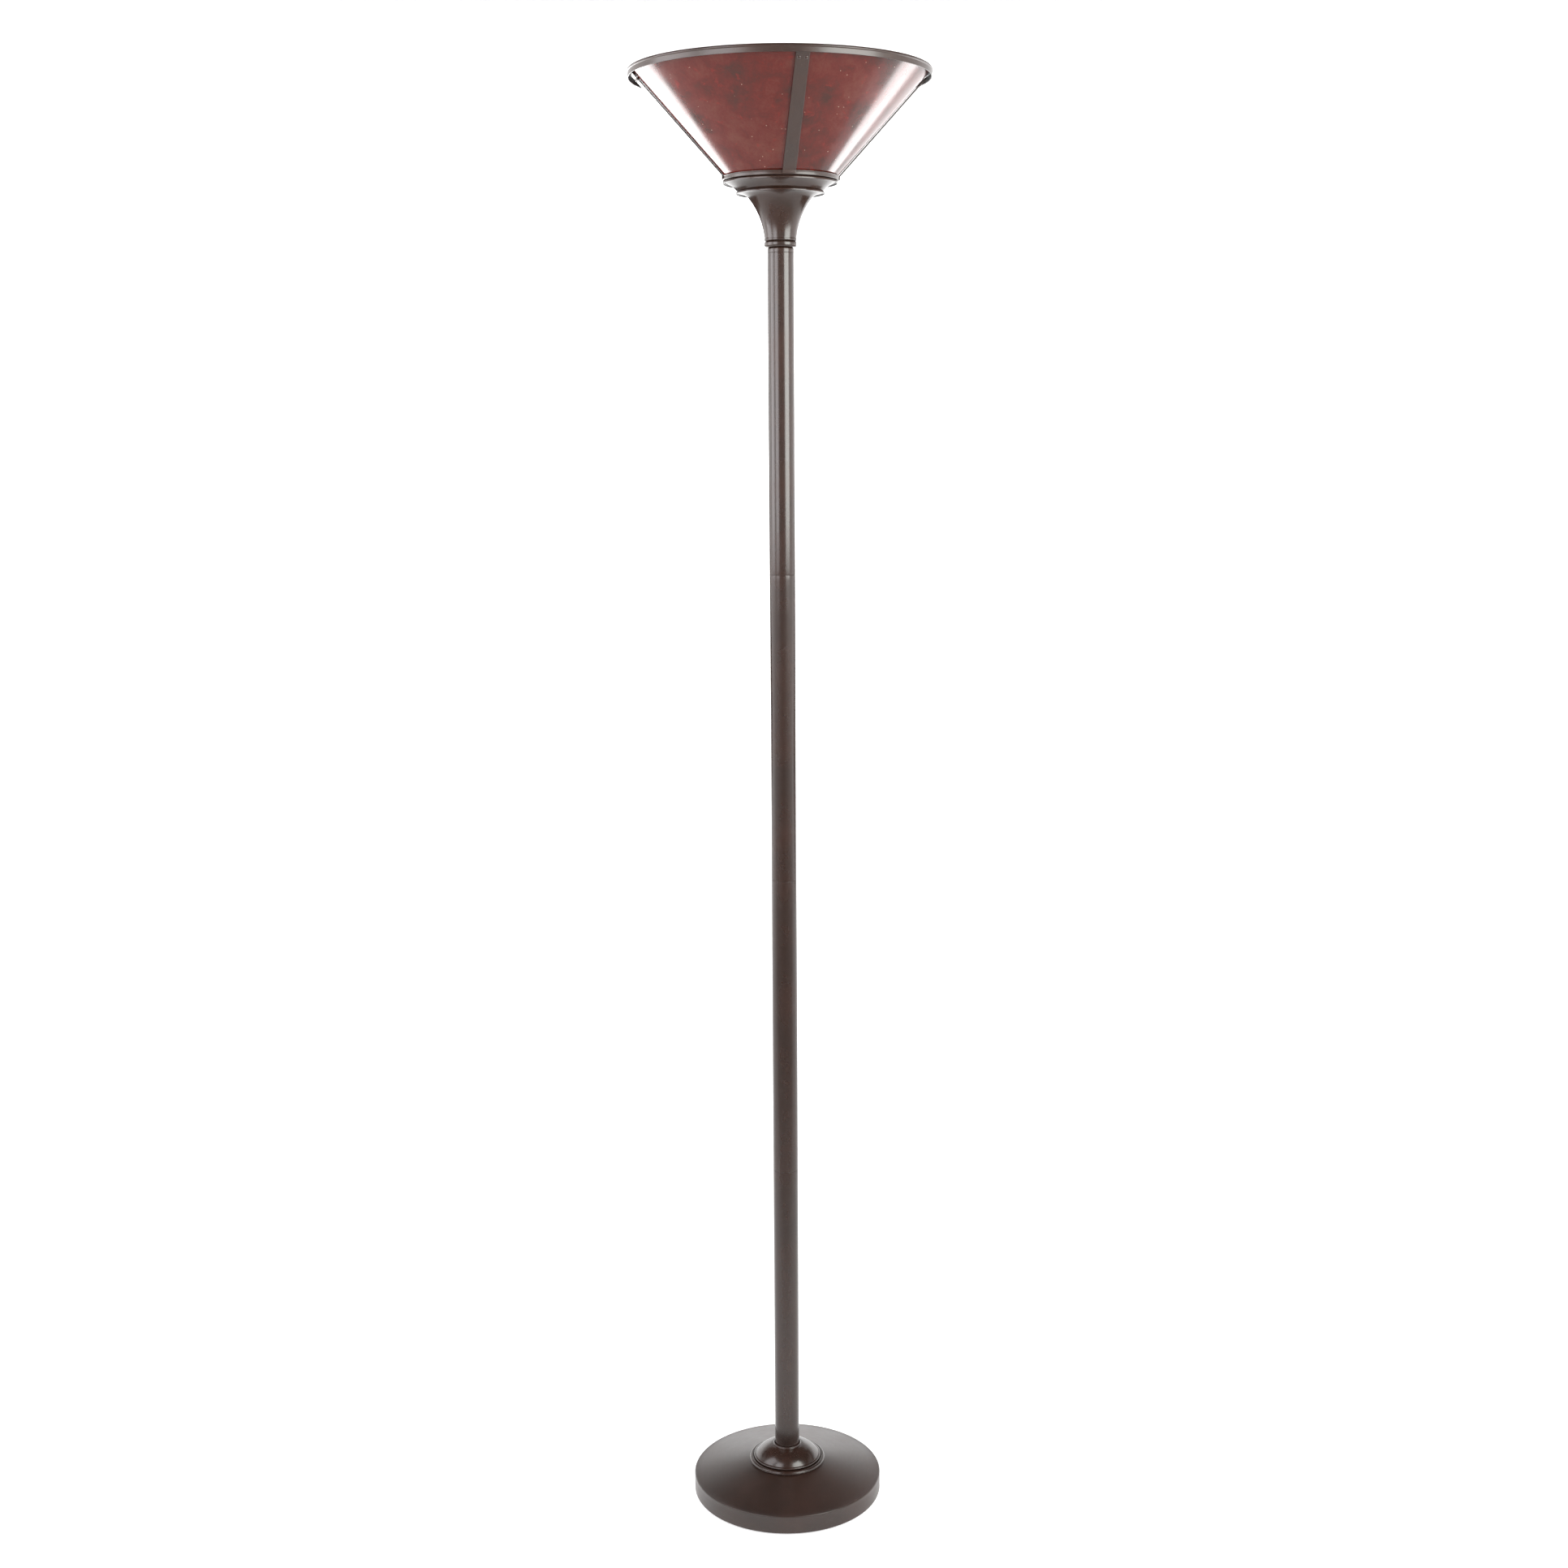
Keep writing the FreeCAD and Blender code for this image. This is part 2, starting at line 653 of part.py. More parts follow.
def make_bulb():
    insulator_top = "Size.bulb_contact_height + Size.bulb_insulator_height"
    finish(cylinder("bulb_contact_disc", "Size.bulb_contact_radius", "Size.bulb_contact_height"),
           "bulb_contact", BULB_BOTTOM)
    turned("bulb_insulator", [
        ("0", "0"),
        ("Size.bulb_contact_radius", "0"),
        ("Size.bulb_cap_foot", "Size.bulb_insulator_height"),
        ("0", "Size.bulb_insulator_height"),
    ], f"{BULB_BOTTOM} + Size.bulb_contact_height")
    spun("bulb_cap", [
        ("Size.bulb_cap_foot", "0"),
        ("Size.bulb_cap_radius", "Size.bulb_cap_bevel"),
        ("Size.bulb_cap_radius", "Size.bulb_cap_height"),
    ], "Size.bulb_cap_wall", f"{BULB_BOTTOM} + {insulator_top}")
    spun("bulb_glass", [
        ("Size.bulb_neck_radius", "0"),
        ("Size.bulb_throat_radius", "Size.bulb_throat_height"),
        ("Size.bulb_waist_radius", "Size.bulb_waist_height", "-Size.bulb_flare_round"),
        ("Size.bulb_crown", "Size.bulb_glass_height", "Size.bulb_radius"),
        ("0", "Size.bulb_glass_height"),
    ], "Size.bulb_glass_wall", f"{BULB_BOTTOM} + Size.bulb_glass_bottom")


def strap_turn(number):
    return f"Size.strap_angle + {number} * 360 / Size.panel_count"


def strap_radius(height):
    """Radius of the strap's inner face at a height above the bottom of the shade."""
    return f"Size.ring_radius + Size.cone_slope * ({height} - Size.strap_bend)"


def mica_radius(height):
    return f"Size.mica_foot_radius + Size.cone_slope * ({height})"


def rivet_places():
    """Where each rivet crosses a strap's outer face, with its axis square to the strap."""
    lean = math.degrees(math.atan(value("Size.cone_slope")))
    normal = FreeCAD.Vector(math.cos(math.radians(lean)), 0, -math.sin(math.radians(lean)))
    height = value("Size.rivet_height")
    face = FreeCAD.Vector(value(strap_radius("Size.rivet_height")), 0, height)
    face += normal * value("Size.strap_thickness")
    square = FreeCAD.Rotation(FreeCAD.Vector(0, 1, 0), 90 + lean)
    places = []
    for number in range(int(value("Size.panel_count"))):
        around = FreeCAD.Rotation(UP, value(strap_turn(number)))
        for side in (-0.5, 0.5):
            beside = FreeCAD.Vector(0, side * value("Size.rivet_spacing"), 0)
            places.append(FreeCAD.Placement(around.multVec(face + beside), around * square))
    return places


def rivet_drills(name, turn):
    """Cylinders for the rivet holes of a piece whose own frame is turned by the given angle."""
    unturned = FreeCAD.Placement(FreeCAD.Vector(), FreeCAD.Rotation(UP, -value(turn)))
    drills = []
    for number, place in enumerate(rivet_places(), start=1):
        below = FreeCAD.Placement(FreeCAD.Vector(0, 0, -2 * value("Size.rivet_grip")), FreeCAD.Rotation())
        drills.append(cylinder(f"{name}_drill_{number}", "Size.rivet_shank + Size.rivet_clearance",
                               "3 * Size.rivet_grip", unturned * place * below))
    group = document.addObject("Part::Compound", name + "_drills")
    group.Links = drills
    return group


def make_rivets():
    outline = path_sketch("rivet", [
        ("0", "-Size.rivet_grip - Size.rivet_tail_height"),
        ("Size.rivet_tail", "-Size.rivet_grip - Size.rivet_tail_height"),
        ("Size.rivet_tail", "-Size.rivet_grip"),
        ("Size.rivet_shank", "-Size.rivet_grip"),
        ("Size.rivet_shank", "0"),
        ("Size.rivet_head", "0"),
        ("Size.rivet_crown", "Size.rivet_head_height", "Size.rivet_head_round"),
        ("0", "Size.rivet_head_height"),
    ], closed=True)
    rivets = []
    for number, place in enumerate(rivet_places(), start=1):
        rivet = revolve(f"rivet_{number}", outline)
        rivet.Solid = True
        rivet.Placement = place
        rivets.append(rivet)
    group = document.addObject("Part::Compound", "rivet_group")
    group.Links = rivets
    finish(group, "panel_rivets", SHADE_BOTTOM)


def make_strap(number):
    label = f"shade_strap_{number + 1}"
    turn = strap_turn(number)
    band = sheet_band(label, [
        (strap_radius("Size.strap_end"), "Size.strap_end"),
        ("Size.ring_radius", "Size.strap_bend"),
        ("Size.ring_radius", "Size.strap_start"),
    ], "Size.strap_thickness")
    strip = document.addObject("Part::Extrusion", label + "_strip")
    strip.Base = band
    strip.DirMode = "Custom"
    strip.Dir = FreeCAD.Vector(0, 1, 0)
    strip.Symmetric = True
    strip.setExpression("LengthFwd", "Size.strap_width")
    finish(cut(label, strip, [rivet_drills(label, turn)]), label, SHADE_BOTTOM, turn)


def make_panel(number):
    """One mica panel, between the middle of a strap and the middle of the next."""
    label = f"mica_panel_{number + 1}"
    turn = f"{strap_turn(number)} + Size.panel_gap / 2"
    inward = "Size.mica_thickness * sqrt(1 + Size.cone_slope ^ 2)"
    section = path_sketch(label, [
        (mica_radius("Size.mica_start"), "Size.mica_start"),
        (mica_radius("Size.mica_end"), "Size.mica_end"),
        (f"{mica_radius('Size.mica_end')} - {inward}", "Size.mica_end"),
        (f"{mica_radius('Size.mica_start')} - {inward}", "Size.mica_start"),
    ], closed=True)
    quarter = revolve(label + "_quarter", section, "360 / Size.panel_count - Size.panel_gap")
    quarter.Solid = True
    finish(cut(label, quarter, [rivet_drills(label, turn)]), label, SHADE_BOTTOM, turn)


def make_shade():
    spun("shade_rim", [
        ("Size.rim_radius", "0"),
        ("Size.rim_radius", "Size.rim_height - Size.rim_round"),
        ("Size.rim_radius - Size.rim_round", "Size.rim_height", "Size.rim_round"),
        ("Size.rim_inner_radius", "Size.rim_height"),
        ("Size.rim_inner_radius", "Size.rim_height - Size.rim_inner_leg"),
    ], "Size.spun_sheet", "Size.total_height - Size.rim_height")
    spun("shade_ring", [
        ("Size.ring_skirt_radius", "-Size.ring_skirt_drop"),
        ("Size.ring_skirt_radius", "0"),
        ("Size.ring_radius", "0"),
        ("Size.ring_radius", "Size.ring_height"),
    ], "Size.spun_sheet", SHADE_BOTTOM)
    for number in range(int(value("Size.panel_count"))):
        make_strap(number)
        make_panel(number)
    make_rivets()


def make_wire():
    """From the socket down the pole, round a bend and out along the groove to the bushing."""
    bend_top = "Size.outlet_height + Size.wire_bend"
    path = path_sketch("lamp_wire", [
        ("0", "Size.wire_top"),
        ("0", bend_top),
        ("Size.wire_bend", "Size.outlet_height", "Size.wire_bend"),
        ("Size.base_radius", "Size.outlet_height"),
    ])
    profile = document.addObject("Part::Circle", "wire_section")
    profile.setExpression("Radius", "Size.wire_radius")
    profile.setExpression("Placement.Base.z", "Size.wire_top")
    wire = document.addObject("Part::Sweep", "wire_sweep")
    wire.Sections = [profile]
    wire.Spine = (path, ["Edge1", "Edge2", "Edge3"])
    wire.Solid = True
    finish(wire, "lamp_wire", turn="Size.outlet_angle")
    document.recompute()
    straight = value(f"Size.wire_top - ({bend_top}) + Size.base_radius - Size.wire_bend")
    length = straight + math.pi / 2 * value("Size.wire_bend")
    expected = math.pi * value("Size.wire_radius") ** 2 * length
    if abs(wire.Shape.Volume / expected - 1) > 0.001:
        raise RuntimeError("the wire's volume differs from its section times its length")


def check_document():
    for item in document.Objects:
        if "Invalid" in item.State or "Error" in item.State:
            raise RuntimeError(f"{item.Label} did not recompute")
    for part in sub_parts:
        if part.Shape.isNull() or not part.Shape.isValid() or not part.Shape.Solids:
            raise RuntimeError(f"{part.Label} has no valid solid")


def write_parts():
    os.makedirs("parts", exist_ok=True)
    for part in sub_parts:
        part.Shape.exportStep(f"parts/{part.Label}.step")
        box = part.Shape.BoundBox
        print(f"{part.Label:18s} solids {len(part.Shape.Solids)}  volume {part.Shape.Volume:10.1f}"
              f"  z {box.ZMin:8.2f} to {box.ZMax:8.2f}")


fill_sheet()
make_base()
make_pole()
make_neck()
make_socket()
make_switch()
make_bulb()
make_shade()
make_wire()
document.recompute()
check_document()
write_parts()
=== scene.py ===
import math

import bmesh
import bpy
from bpy.props import FloatProperty, FloatVectorProperty, IntProperty, PointerProperty
from mathutils import Matrix, Vector, noise


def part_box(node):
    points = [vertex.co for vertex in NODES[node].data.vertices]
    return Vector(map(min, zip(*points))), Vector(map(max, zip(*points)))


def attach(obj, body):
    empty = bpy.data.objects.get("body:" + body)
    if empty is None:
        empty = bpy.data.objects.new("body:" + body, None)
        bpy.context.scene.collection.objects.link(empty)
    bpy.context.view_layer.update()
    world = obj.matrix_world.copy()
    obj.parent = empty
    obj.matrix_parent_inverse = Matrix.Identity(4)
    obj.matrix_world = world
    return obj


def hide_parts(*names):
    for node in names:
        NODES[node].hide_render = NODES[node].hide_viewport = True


bl_info = {
    "name": "Torchiere Floor Lamp",
    "version": (1, 0, 0),
    "blender": (4, 5, 0),
    "location": "3D View > Sidebar > Lamp",
    "description": "Builds the bronze and mica torchiere lamp around its fixed frame",
    "category": "Add Mesh",
}

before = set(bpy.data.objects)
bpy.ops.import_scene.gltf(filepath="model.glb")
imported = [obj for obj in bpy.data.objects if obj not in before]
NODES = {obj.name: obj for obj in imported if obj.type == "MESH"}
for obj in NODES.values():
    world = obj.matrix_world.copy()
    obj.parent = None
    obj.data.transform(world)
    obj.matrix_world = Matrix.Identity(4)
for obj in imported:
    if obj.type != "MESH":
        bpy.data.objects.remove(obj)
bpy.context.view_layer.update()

MM = 0.001
TURN = 2 * math.pi
LONGEST_STEP = 6.0           # millimetres between rows of a turned piece
CONE_SLOPE = 0.913           # the mica's radius grows by this for each unit of height
CONE_TOP_RADIUS = 174.87     # outer face of the mica at its top edge, in millimetres
STRAP_ANGLE = math.radians(-81.4)
STRAP_COUNT = 4
STRAP_BEND = 4.0             # height of a strap's bend above its foot, in millimetres
NIPPLE_RADIUS = 5.0          # of the threaded tube that clamps the neck, in millimetres
THREAD_PITCH = 3.63          # of the bulb's cap and its socket, in millimetres

DUST = (0.30, 0.27, 0.24, 1)           # pale specks that settle on the bronze
RUSTY_FLAKE = (0.16, 0.008, 0.0045, 1)  # brighter red flakes in the mica
PAINTED_GLINT = (0.50, 0.36, 0.27, 1)          # painted glints: mica flakes painted pale as if catching the light


# Settings that a user may change


def colour_setting(name, description, default):
    """A colour that a user can change."""
    return FloatVectorProperty(name=name, description=description, subtype="COLOR", size=3,
                               min=0, max=1, default=default)


def length_setting(name, description, default):
    """A length in metres that a user can change."""
    return FloatProperty(name=name, description=description, subtype="DISTANCE", unit="LENGTH",
                         min=0, default=default)


def angle_setting(name, description, degrees):
    """An angle that a user can change."""
    return FloatProperty(name=name, description=description, subtype="ANGLE", unit="ROTATION",
                         default=math.radians(degrees))


class FinishSettings(bpy.types.PropertyGroup):
    """Colours and gloss of the metal finish"""

    bronze: colour_setting("Bronze", "Colour of the lacquered bronze", (0.021, 0.0112, 0.0082))
    bronze_warm: colour_setting("Warm Bronze", "Redder clouds in the bronze", (0.031, 0.0133, 0.0088))
    bronze_worn: colour_setting("Worn Bronze", "Bronze where edges are rubbed", (0.075, 0.050, 0.036))
    gloss: FloatProperty(name="Roughness", description="Mean roughness of the lacquer",
                         subtype="FACTOR", min=0, max=1, default=0.27)


class MicaSettings(bpy.types.PropertyGroup):
    """Colours and surface of the mica sheets"""

    dark: colour_setting("Dark Mica", "Colour of the dark flakes", (0.038, 0.0085, 0.0052))
    body: colour_setting("Mica", "Main colour of the mica", (0.076, 0.0075, 0.0045))
    pale: colour_setting("Pale Mica", "Colour of the pale flakes", (0.092, 0.020, 0.013))
    edge_round: length_setting("Edge Rounding", "Rounding of the cut edges", 0.35 * MM)
    waviness: length_setting("Waviness", "How far the sheets wander from a true cone", 0.25 * MM)


class ShapeSettings(bpy.types.PropertyGroup):
    """Fineness and small sizes of the turned pieces"""

    segments: IntProperty(name="Segments", description="Steps round a turned piece",
                          min=24, max=512, default=192)
    seam_chamfer: length_setting("Seam Chamfer", "Chamfer at each end of a pole tube", 0.35 * MM)
    rivet_head: length_setting("Rivet Head", "Radius of a panel rivet's head", 2.4 * MM)
    knob_flutes: IntProperty(name="Knob Flutes", description="Grip flutes round the switch knob",
                             min=6, max=48, default=18)


class StudioSettings(bpy.types.PropertyGroup):
    """Camera and lights"""

    distance: length_setting("Camera Distance", "From the pole to the camera", 2.4925)
    height: length_setting("Camera Height", "Above the floor", 1.391)
    pitch: angle_setting("Camera Pitch", "Downward tilt", 10.068)
    roll: angle_setting("Camera Roll", "Clockwise roll", 0.3116)
    lens: FloatProperty(name="Lens", description="Focal length in millimetres",
                        subtype="DISTANCE_CAMERA", default=46.53)
    key_power: FloatProperty(name="Side Lights", description="Power of each softbox",
                             subtype="POWER", unit="POWER", default=25.0)
    card_glow: FloatProperty(name="Card Glow", description="Brightness of the reflector cards",
                             min=0, default=11.0)
    sky: FloatProperty(name="Fill", description="Strength of the even fill", min=0, default=0.1)


class LampSettings(bpy.types.PropertyGroup):
    """All settings of the lamp"""

    finish: PointerProperty(type=FinishSettings, name="Finish", description="Metal finish")
    mica: PointerProperty(type=MicaSettings, name="Mica", description="Mica sheets")
    shape: PointerProperty(type=ShapeSettings, name="Shape", description="Fineness of the pieces")
    studio: PointerProperty(type=StudioSettings, name="Studio", description="Camera and lights")


# Outlines of turned pieces, as (radius, height) points in millimetres


def polar(centre, radius, angle):
    return (centre[0] + radius * math.cos(angle), centre[1] + radius * math.sin(angle))


def arc(start, end, bend, step=math.radians(6)):
    """Points after start along an arc of radius abs(bend); it turns left when bend is positive."""
    dx, dy = end[0] - start[0], end[1] - start[1]
    chord = math.hypot(dx, dy)
    reach = math.sqrt(max(bend ** 2 - chord ** 2 / 4, 0))
    side = math.copysign(1, bend)
    centre = ((start[0] + end[0]) / 2 - side * reach * dy / chord,
              (start[1] + end[1]) / 2 + side * reach * dx / chord)
    first = math.atan2(start[1] - centre[1], start[0] - centre[0])
    sweep = side * 2 * math.asin(min(1, chord / 2 / abs(bend)))
    count = max(2, math.ceil(abs(sweep) / step))
    return [polar(centre, abs(bend), first + sweep * i / count) for i in range(1, count)] + [end]


def path(*corners):
    """Joins corners with lines, or with an arc where a corner holds a third value, its bend."""
    points = [corners[0][:2]]
    for corner in corners[1:]:
        if len(corner) == 3:
            points += arc(points[-1], corner[:2], corner[2])
        else:
            points.append(corner)
    return points


def between(start, end, count):
    """Even points from start up to, but not including, end."""
    return [(start[0] + (end[0] - start[0]) * n / count, start[1] + (end[1] - start[1]) * n / count)
            for n in range(count)]


def fine(outline, step):
    """Divides the long straights of a closed outline."""
    result = []
    for i, start in enumerate(outline):
        end = outline[(i + 1) % len(outline)]
        result += between(start, end, max(1, math.ceil(math.dist(start, end) / step)))
    return result


def rounded(points, radius, step=math.radians(15)):
    """Rounds every sharp corner of a closed outline."""
    result = []
    count = len(points)
    for i, (x, y) in enumerate(points):
        ax, ay = points[i - 1][0] - x, points[i - 1][1] - y
        bx, by = points[(i + 1) % count][0] - x, points[(i + 1) % count][1] - y
        la, lb = math.hypot(ax, ay), math.hypot(bx, by)
        cosine = max(-1, min(1, (ax * bx + ay * by) / (la * lb)))
        inside = math.acos(cosine)
        turn = math.pi - inside
        if turn < math.radians(25) or x < 1e-6:
            result.append((x, y))
            continue
        cut = min(radius * math.tan(turn / 2), 0.45 * la, 0.45 * lb)
        start = (x + ax / la * cut, y + ay / la * cut)
        end = (x + bx / lb * cut, y + by / lb * cut)
        side = math.copysign(1, (-ax) * by - (-ay) * bx)
        fit = cut / math.tan(turn / 2)
        result += [start] + arc(start, end, side * max(fit, 1e-6), step)
    return result


def normals_left(points):
    """Unit normals on the left of an open path."""
    result = []
    for i in range(len(points)):
        a, b = points[max(i - 1, 0)], points[min(i + 1, len(points) - 1)]
        length = math.hypot(b[0] - a[0], b[1] - a[1])
        result.append((-(b[1] - a[1]) / length, (b[0] - a[0]) / length))
    return result


def sheet(points, wall):
    """The closed outline of a sheet whose shown face is the path; the metal is on its left."""
    back = []
    for i, ((x, y), (nx, ny)) in enumerate(zip(points, normals_left(points))):
        spread = wall
        if 0 < i < len(points) - 1:
            ax, ay = x - points[i - 1][0], y - points[i - 1][1]
            spread = wall / max(0.5, abs(nx * -ay + ny * ax) / math.hypot(ax, ay))
        back.append((x + nx * spread, y + ny * spread))
    return points + back[::-1]


# Meshes


def new_piece(name, build, material, smooth_angle=35):
    """A piece from a bmesh, with clean outward faces, smooth shading and one material."""
    mesh = bpy.data.meshes.new(name)
    shape = bmesh.new()
    build(shape)
    bmesh.ops.remove_doubles(shape, verts=shape.verts, dist=1e-6)
    bmesh.ops.dissolve_degenerate(shape, edges=shape.edges, dist=1e-7)
    bmesh.ops.recalc_face_normals(shape, faces=shape.faces)
    shape.to_mesh(mesh)
    shape.free()
    mesh.shade_smooth()
    mesh.set_sharp_from_angle(angle=math.radians(smooth_angle))
    piece = bpy.data.objects.new(name, mesh)
    bpy.context.scene.collection.objects.link(piece)
    piece.data.materials.append(material)
    return piece


def skin(shape, rings, closed=True):
    """Faces between each ring of points and the next one."""
    for first, second in zip(rings, rings[1:]):
        count = len(first)
        for index in range(count if closed else count - 1):
            after = (index + 1) % count
            shape.faces.new((first[index], first[after], second[after], second[index]))


def turn_outline(shape, outline, segments, shift=None, start=0.0, sweep=TURN):
    """Turns a closed outline about Z. shift(radius, height, angle) may move each point."""
    full = abs(sweep - TURN) < 1e-9
    columns = segments if full else segments + 1
    rings = []
    for column in range(columns):
        angle = start + sweep * column / segments
        ring = []
        for radius, height in outline:
            r, z = shift(radius, height, angle) if shift else (radius, height)
            ring.append(shape.verts.new((r * MM * math.cos(angle), r * MM * math.sin(angle), z * MM)))
        rings.append(ring)
    rows = len(outline)
    for column in range(segments):
        here, there = rings[column], rings[(column + 1) % columns]
        for row in range(rows):
            below = (row + 1) % rows
            if outline[row][0] < 1e-7 and outline[below][0] < 1e-7:
                continue
            shape.faces.new((here[row], there[row], there[below], here[below]))
    if not full:
        shape.faces.new(rings[0])
        shape.faces.new(rings[-1][::-1])


def lathe(name, outline, material, smooth_angle=35, segments=None, shift=None):
    count = segments or bpy.context.scene.lamp.shape.segments
    rows = fine(outline, LONGEST_STEP)
    return new_piece(name, lambda shape: turn_outline(shape, rows, count, shift),
                     material, smooth_angle)


def card_lit():
    """The pieces that the reflector cards light; the cards leave all others alone."""
    return bpy.data.collections.get("Card Lit") or bpy.data.collections.new("Card Lit")


def place(piece, body, node=None):
    """Fixes a finished piece to its body, in place of the frame's node of the same name."""
    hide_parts(node or piece.name.lower())
    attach(piece, body)
    if body == "shade":
        card_lit().objects.link(piece)


def extent(node):
    """Outer radius, lowest and highest point of a round node, in millimetres."""
    low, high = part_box(node.lower())
    return high.x / MM, low.z / MM, high.z / MM


def paint(material, *nodes):
    """Gives the frame's own nodes a finished material."""
    for node in nodes:
        mesh = NODES[node].data
        mesh.materials.clear()
        mesh.materials.append(material)


# Node trees


class Tree:
    """A small helper that adds nodes and joins them."""

    def __init__(self, tree):
        self.tree = tree

    def add(self, kind, **values):
        node = self.tree.nodes.new(kind)
        for key, value in values.items():
            if key[0].isupper():
                self.feed(node.inputs[key.replace("_", " ")], value)
            else:
                setattr(node, key, value)
        return node

    def feed(self, socket, value):
        if isinstance(value, bpy.types.NodeSocket):
            self.tree.links.new(value, socket)
        else:
            socket.default_value = value

    def math(self, operation, *values, clamp=False):
        node = self.add("ShaderNodeMath", operation=operation, use_clamp=clamp)
        for socket, value in zip(node.inputs, values):
            self.feed(socket, value)
        return node.outputs[0]

    def mix(self, factor, first, second, blend="MIX"):
        node = self.add("ShaderNodeMix", data_type="RGBA", blend_type=blend)
        self.feed(node.inputs[0], factor)
        self.feed(node.inputs[6], first)
        self.feed(node.inputs[7], second)
        return node.outputs[2]

    def remap(self, value, low, high, to_low=0.0, to_high=1.0):
        node = self.add("ShaderNodeMapRange", Value=value, From_Min=low, From_Max=high,
                        To_Min=to_low, To_Max=to_high)
        return node.outputs[0]

    def noise(self, scale, coordinates, detail=4.0, roughness=0.55):
        node = self.add("ShaderNodeTexNoise", Scale=scale, Detail=detail, Roughness=roughness,
                        Vector=coordinates)
        return node.outputs["Fac"]

    def weigh(self, *parts):
        """The sum of values, each times its weight."""
        total = None
        for value, weight in parts:
            part = self.math("MULTIPLY", value, weight)
            total = self.math("ADD", total, part) if total else part
        return total

    def surface(self, shader, tone, roughness, relief, strength, depth):
        """Feeds a shader its colour, roughness and relief."""
        bump = self.add("ShaderNodeBump", Height=relief, Strength=strength, Distance=depth)
        self.feed(shader.inputs["Base Color"], tone)
        self.feed(shader.inputs["Roughness"], roughness)
        self.feed(shader.inputs["Normal"], bump.outputs["Normal"])


def rgba(colour):
    return (*colour, 1.0)


def make_group(name, inputs, outputs):
    """An empty shader group with named sockets, as (tree, input node, output node)."""
    tree = bpy.data.node_groups.new(name, "ShaderNodeTree")
    for label, kind, default in inputs:
        socket = tree.interface.new_socket(label, in_out="INPUT", socket_type=kind)
        socket.default_value = default
    for label, kind in outputs:
        tree.interface.new_socket(label, in_out="OUTPUT", socket_type=kind)
    maker = Tree(tree)
    return maker, maker.add("NodeGroupInput"), maker.add("NodeGroupOutput")


def make_cloud_group():
    """Soft clouds of colour and gloss, such as a hand-rubbed finish has."""
    tree, given, result = make_group("Rubbed Clouds", [
        ("Size", "NodeSocketFloat", 30.0),
        ("Contrast", "NodeSocketFloat", 0.2),
    ], [("Clouds", "NodeSocketFloat"), ("Streaks", "NodeSocketFloat")])
    where = tree.add("ShaderNodeTexCoord").outputs["Object"]
    broad = tree.noise(given.outputs["Size"], where, detail=5.0, roughness=0.6)
    low = tree.math("SUBTRACT", 0.5, given.outputs["Contrast"])
    high = tree.math("ADD", 0.5, given.outputs["Contrast"])
    tree.feed(result.inputs["Clouds"], tree.remap(broad, low, high))
    stretched = tree.add("ShaderNodeMapping", Vector=where)
    stretched.inputs["Scale"].default_value = (1.0, 1.0, 9.0)
    brushed = tree.noise(tree.math("MULTIPLY", given.outputs["Size"], 7.0),
                         stretched.outputs[0], detail=3.0)
    tree.feed(result.inputs["Streaks"], tree.remap(brushed, 0.35, 0.65))
    return tree.tree


def make_wear_group():
    """Rubbed edges and stray dust: 1 where the finish has worn thin or dust lies."""
    tree, given, result = make_group("Edge Wear And Dust", [
        ("Edge", "NodeSocketFloat", 0.04),
        ("Breakup", "NodeSocketFloat", 120.0),
        ("Dust Size", "NodeSocketFloat", 900.0),
        ("Dust Amount", "NodeSocketFloat", 0.5),
    ], [("Worn", "NodeSocketFloat"), ("Dust", "NodeSocketFloat")])
    where = tree.add("ShaderNodeTexCoord").outputs["Object"]
    sharp = tree.add("ShaderNodeNewGeometry").outputs["Pointiness"]
    start = tree.math("ADD", 0.5, given.outputs["Edge"])
    stop = tree.math("ADD", start, 0.06)
    edges = tree.remap(sharp, start, stop)
    patchy = tree.noise(given.outputs["Breakup"], where, detail=6.0, roughness=0.65)
    broken = tree.math("MULTIPLY", edges, tree.remap(patchy, 0.4, 0.62))
    tree.feed(result.inputs["Worn"], tree.math("MINIMUM", broken, 1.0, clamp=True))
    specks = tree.add("ShaderNodeTexVoronoi", Scale=given.outputs["Dust Size"], Vector=where)
    near = tree.math("LESS_THAN", specks.outputs["Distance"], 0.12)
    chosen = tree.add("ShaderNodeSeparateColor", Color=specks.outputs["Color"]).outputs[0]
    rare = tree.math("GREATER_THAN", chosen, tree.math("SUBTRACT", 1.0, given.outputs["Dust Amount"]))
    tree.feed(result.inputs["Dust"], tree.math("MULTIPLY", near, rare))
    return tree.tree


def make_grain_group():
    """Fine relief: the orange peel of lacquer, the tooth of a casting or the nap of felt."""
    tree, given, result = make_group("Fine Grain", [
        ("Grain Size", "NodeSocketFloat", 1500.0),
        ("Ripple Size", "NodeSocketFloat", 90.0),
        ("Ripple", "NodeSocketFloat", 0.5),
    ], [("Height", "NodeSocketFloat")])
    where = tree.add("ShaderNodeTexCoord").outputs["Object"]
    fine = tree.noise(given.outputs["Grain Size"], where, detail=2.0)
    broad = tree.noise(given.outputs["Ripple Size"], where, detail=2.0)
    lifted = tree.math("MULTIPLY", broad, given.outputs["Ripple"])
    tree.feed(result.inputs["Height"], tree.math("ADD", fine, lifted))
    return tree.tree


GROUPS = {"Rubbed Clouds": make_cloud_group, "Edge Wear And Dust": make_wear_group,
          "Fine Grain": make_grain_group}


def use_group(tree, name, **values):
    group = bpy.data.node_groups.get(name) or GROUPS[name]()
    node = tree.add("ShaderNodeGroup", node_tree=group)
    for key, value in values.items():
        tree.feed(node.inputs[key.replace("_", " ")], value)
    return node


